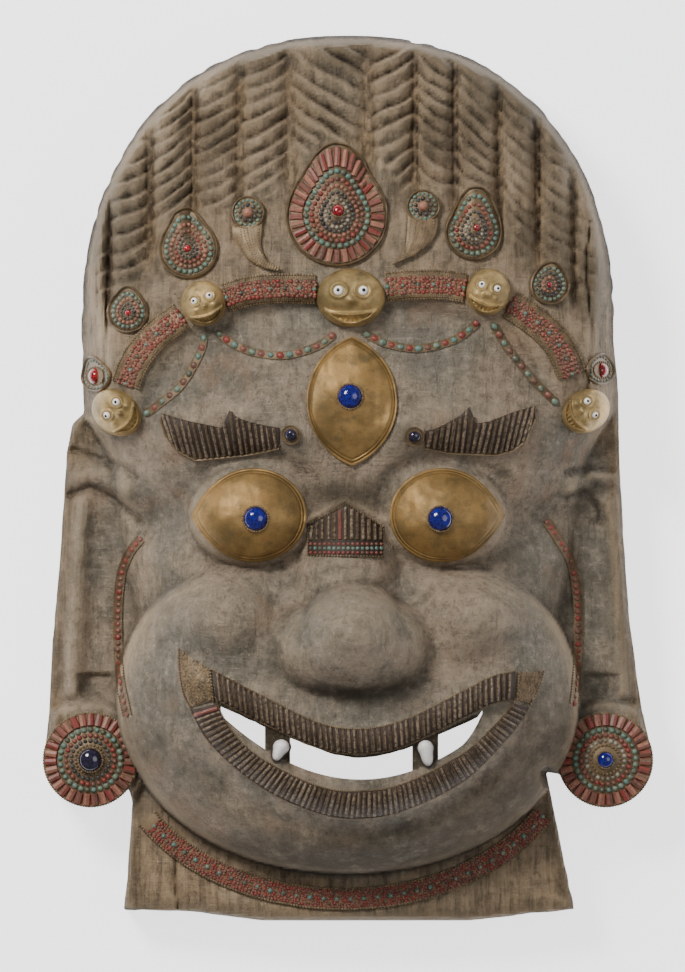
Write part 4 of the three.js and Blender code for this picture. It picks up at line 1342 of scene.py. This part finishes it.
def lip_band(name, upper, lower, count, red_bars=()):
    """A curved comb of bars between two edges that run from left to right."""
    piece = Piece(f"{name}_comb")
    tops, feet = smooth_path(upper, 120), smooth_path(lower, 120)
    plate(piece, np.stack([tops, feet], 1), 1.8, "recess", 7)
    top = raised(ground, 1.4)
    tops, feet = even(tops, count + 2)[1:-1], even(feet, count + 2)[1:-1]
    reach = 0.06 + 0.05 * rng.random((count, 1))
    start, end = feet + (tops - feet) * reach, tops + (feet - tops) * reach * 0.6
    red = np.isin(np.arange(count), red_bars)
    bars(piece, start[~red], end[~red], 1.42, top)
    if red.any():
        bars(piece, start[red], end[red], 1.7, top, "coral")
    for edge in (upper, lower):
        grains_along(piece, smooth_path(edge, 200), 1.5, 0.75, top)
    piece.finish(name, "inlay")


UPPER_TOP = [
    (-95, -134), (-60, -152), (-20, -171), (10, -175), (40, -168.5), (80, -149), (100, -139), (117, -135),
]
UPPER_FOOT = [
    (-92, -154.5), (-60, -171), (-20, -188.5), (8, -192.5), (40, -187), (80, -167.5), (100, -158),
    (116, -155),
]
LOWER_TOP = [
    (-92, -157.5), (-80, -178), (-60, -196), (-20, -215.5), (10, -218.5), (40, -213), (80, -192.5),
    (104, -171), (116, -157.5),
]
LOWER_FOOT = [
    (-110, -162.5), (-95, -187), (-60, -216.5), (-20, -234.5), (10, -238), (40, -232), (80, -212.5),
    (112, -181.5), (127, -161),
]
lip_band("upper_lip_band", UPPER_TOP, UPPER_FOOT, 54)
lip_band("lower_lip_band", LOWER_TOP, LOWER_FOOT, 72, [0])

LIP_CORNERS = {
    "left": [((-96.5, -134), (-118.5, -120)), ((-95.3, -144), (-118, -135)),
             ((-94.6, -151), (-115, -151)), ((-94.4, -155.2), (-110.5, -160))],
    "right": [((137, -135.5), (119.2, -136.5)), ((133.5, -147), (118.6, -147)),
              ((128, -158), (118, -154.6))],
}


def lip_corner(side, pairs, count):
    piece = Piece(f"{side}_corner_plaque")
    rungs = smooth_rungs(pairs, 14)
    plate(piece, rungs, 2.2, "bronze", 7)
    row = rng.random(count) * 12.6
    share = 0.06 + 0.88 * rng.random(count)
    ends = [np.stack([np.interp(row, range(14), rungs[:, k, i]) for i in (0, 1)], 1) for k in (0, 1)]
    top = raised(ground, 1.8)
    scatter(piece, GRAIN, between(*ends, share[:, None]), 0.6 + 0.6 * rng.random(count), "bronze", top)
    for edge in (0, 1):
        grains_along(piece, rungs[:, edge], 1.9, 1.0, top)
    piece.finish(f"{side}_lip_corner", "mosaic")


lip_corner("left", LIP_CORNERS["left"], 420)
lip_corner("right", LIP_CORNERS["right"], 260)


def fang(name, centre, radius):
    piece = Piece(f"{name}_stone")
    foot = lambda angle: radius(angle) + 1.1
    polar_plate(piece, centre, foot, setting(1.2, 0), "recess", 40, 3)
    bulge = lambda share, angle: 9.5 * np.clip(1 - share ** 2.2, 0, 1) ** 0.55
    polar_plate(piece, centre, radius, bulge, "white", 60, 14, skirt=3)
    piece.finish(name, "fang")


fang("left_fang", (-46.6, -187.8), drop(5.9, 5.4, -2.0, 5.2))
fang("right_fang", (54.2, -188.6), drop(5.7, 5.7, -1.4, 7.4))


# ---- cheek strips, collar and ear discs ----

def cheek_strip(side, points):
    piece = Piece(f"{side}_cheek_corals")
    path = smooth_path(points, 60)
    plate(piece, rungs_along(path, 6.6), 1.4, "bronze", 3, edge=0.4)
    top = raised(ground, 1.0)
    beads_along(piece, path, 4.4, (2.1, 2.3, 1.5), "coral", top, 0.15)
    for edge in (-3.0, 3.0):
        grains_along(piece, beside(path, edge), 1.9, 0.75, top)
    piece.finish(f"{side}_cheek_strip", "coral")


LEFT_CHEEK = [(-146, -43), (-153, -52), (-159, -66), (-161.5, -85), (-162, -110), (-160, -141), (-155, -166)]
RIGHT_CHEEK = [(140, -31), (148, -43), (156, -57), (160.5, -76), (162, -100), (161.2, -134), (159, -158)]
cheek_strip("left", LEFT_CHEEK)
cheek_strip("right", RIGHT_CHEEK)


def collar():
    piece = Piece("collar_beaded")
    angle = np.radians(np.linspace(211, 330, 90))
    path = even(np.stack([-3 + 161 * np.cos(angle), -180 + 116 * np.sin(angle)], 1), 90)
    plate(piece, rungs_along(path, 15), 2.2, "bronze", 5)
    top = raised(ground, 1.8)
    for side in (-1, 1):
        grains_along(piece, beside(path, side * 7.0), 2.1, 1.1, top)
    for offset in (-5.4, -3.6, -1.8, 0, 1.8, 3.6, 5.4):
        scattered_along(piece, path[2:], offset, 2.3, 1.25, "coral", top, 0.6)
    beads_along(piece, path[2:], 9.2, (1.9, 1.9, 2.3), "turquoise", top)
    piece.finish("collar_band", "mosaic")


collar()


def ear_disc(side, name, stone_radius, stone_finish, third_ring):
    centre = (side * DISC_X, DISC_Y)
    outline = circle(DISC_RADIUS - 0.1)
    flat = lambda x, y: DISC_FRONT + 0 * x
    share = lambda x, y: np.hypot(x - centre[0], y - centre[1]) / 33
    surface = lambda x, y: DISC_FRONT + setting(2, 9)(share(x, y), 0)
    piece = Piece(f"{name}_ear_beads")
    polar_plate(piece, centre, outline, setting(2, 9), "bronze", 72, 14, flat, skirt=3)
    ring_of_grains(piece, centre, outline, 0.7, 2.0, 1.3, surface, -0.2)
    ring_of_tubes(piece, centre, outline, 1.5, 9.6, 31, surface, 2.75)
    rings = ((12.2, 2.2, "turquoise"), (16.3, 1.9, "coral"), (20.0, 1.7, third_ring), (23.2, 1.2, "bronze"))
    for inset, size, finish in rings:
        ring_of_beads(piece, centre, outline, inset, size, finish, surface)
    piece.finish(f"{name}_ear_disc", "mosaic")
    seat = raised(surface, -0.6)
    cabochon(f"{name}_ear_glass", centre, stone_radius, stone_finish, seat, f"{name}_ear_stone")


ear_disc(-1, "left", 8.0, "dark_glass", "slate")
ear_disc(1, "right", 5.4, "blue_glass", "pearl")


# ---- stage, light and camera ----

FLOOR_HALF = 3000
FLOOR_Z = -0.5
SENSOR_MM = 36

# The camera and lights are placed in metres.
CAMERA_DISTANCE = 12.0
VIEW_HEIGHT = 0.6804
VIEW_CENTRE = (-0.00385, -0.0056)
FACE_Z = 0.1
LIT_POINT = Vector((0, 0, 0.05))


def floor():
    corners = [(x * FLOOR_HALF, y * FLOOR_HALF, FLOOR_Z) for x, y in ((-1, -1), (1, -1), (1, 1), (-1, 1))]
    stage = new_object("floor", corners, [[0, 1, 2, 3]])
    n = Nodes("lit_paper")
    colour = n.mix(n.noise(3), (0.8, 0.82, 0.86, 1), (0.82, 0.84, 0.87, 1))
    glow = {"Emission Color": (0.98, 0.98, 1.0, 1), "Emission Strength": 2.0}
    stage.data.materials.append(n.surface({"Base Color": colour, "Roughness": 0.9, **glow}))


def area_light(name, place, size, power, colour):
    light = bpy.data.lights.new(name, "AREA")
    light.shape = "DISK"
    light.size = size
    light.energy = power
    light.color = colour
    lamp = bpy.data.objects.new(name, light)
    lamp.location = place
    lamp.rotation_euler = (LIT_POINT - Vector(place)).to_track_quat("-Z", "Y").to_euler()
    bpy.context.scene.collection.objects.link(lamp)


def camera():
    """Looks straight down from so far off that the view is almost flat."""
    data = bpy.data.cameras.new("camera")
    data.lens = SENSOR_MM * CAMERA_DISTANCE / VIEW_HEIGHT
    data.clip_end = 50
    eye = bpy.data.objects.new("camera", data)
    eye.location = (*VIEW_CENTRE, FACE_Z + CAMERA_DISTANCE)
    bpy.context.scene.collection.objects.link(eye)
    bpy.context.scene.camera = eye


floor()
area_light("key", (-1.2, 1.25, 1.9), 0.8, 68, (1.0, 0.98, 0.95))
area_light("fill", (1.3, 0.1, 2.1), 1.6, 14, (0.98, 0.99, 1.0))
world = bpy.data.worlds.new("studio")
world.use_nodes = True
world.node_tree.nodes["Background"].inputs[0].default_value = (0.98, 0.98, 1.0, 1)
world.node_tree.nodes["Background"].inputs[1].default_value = 0.28
bpy.context.scene.world = world
camera()
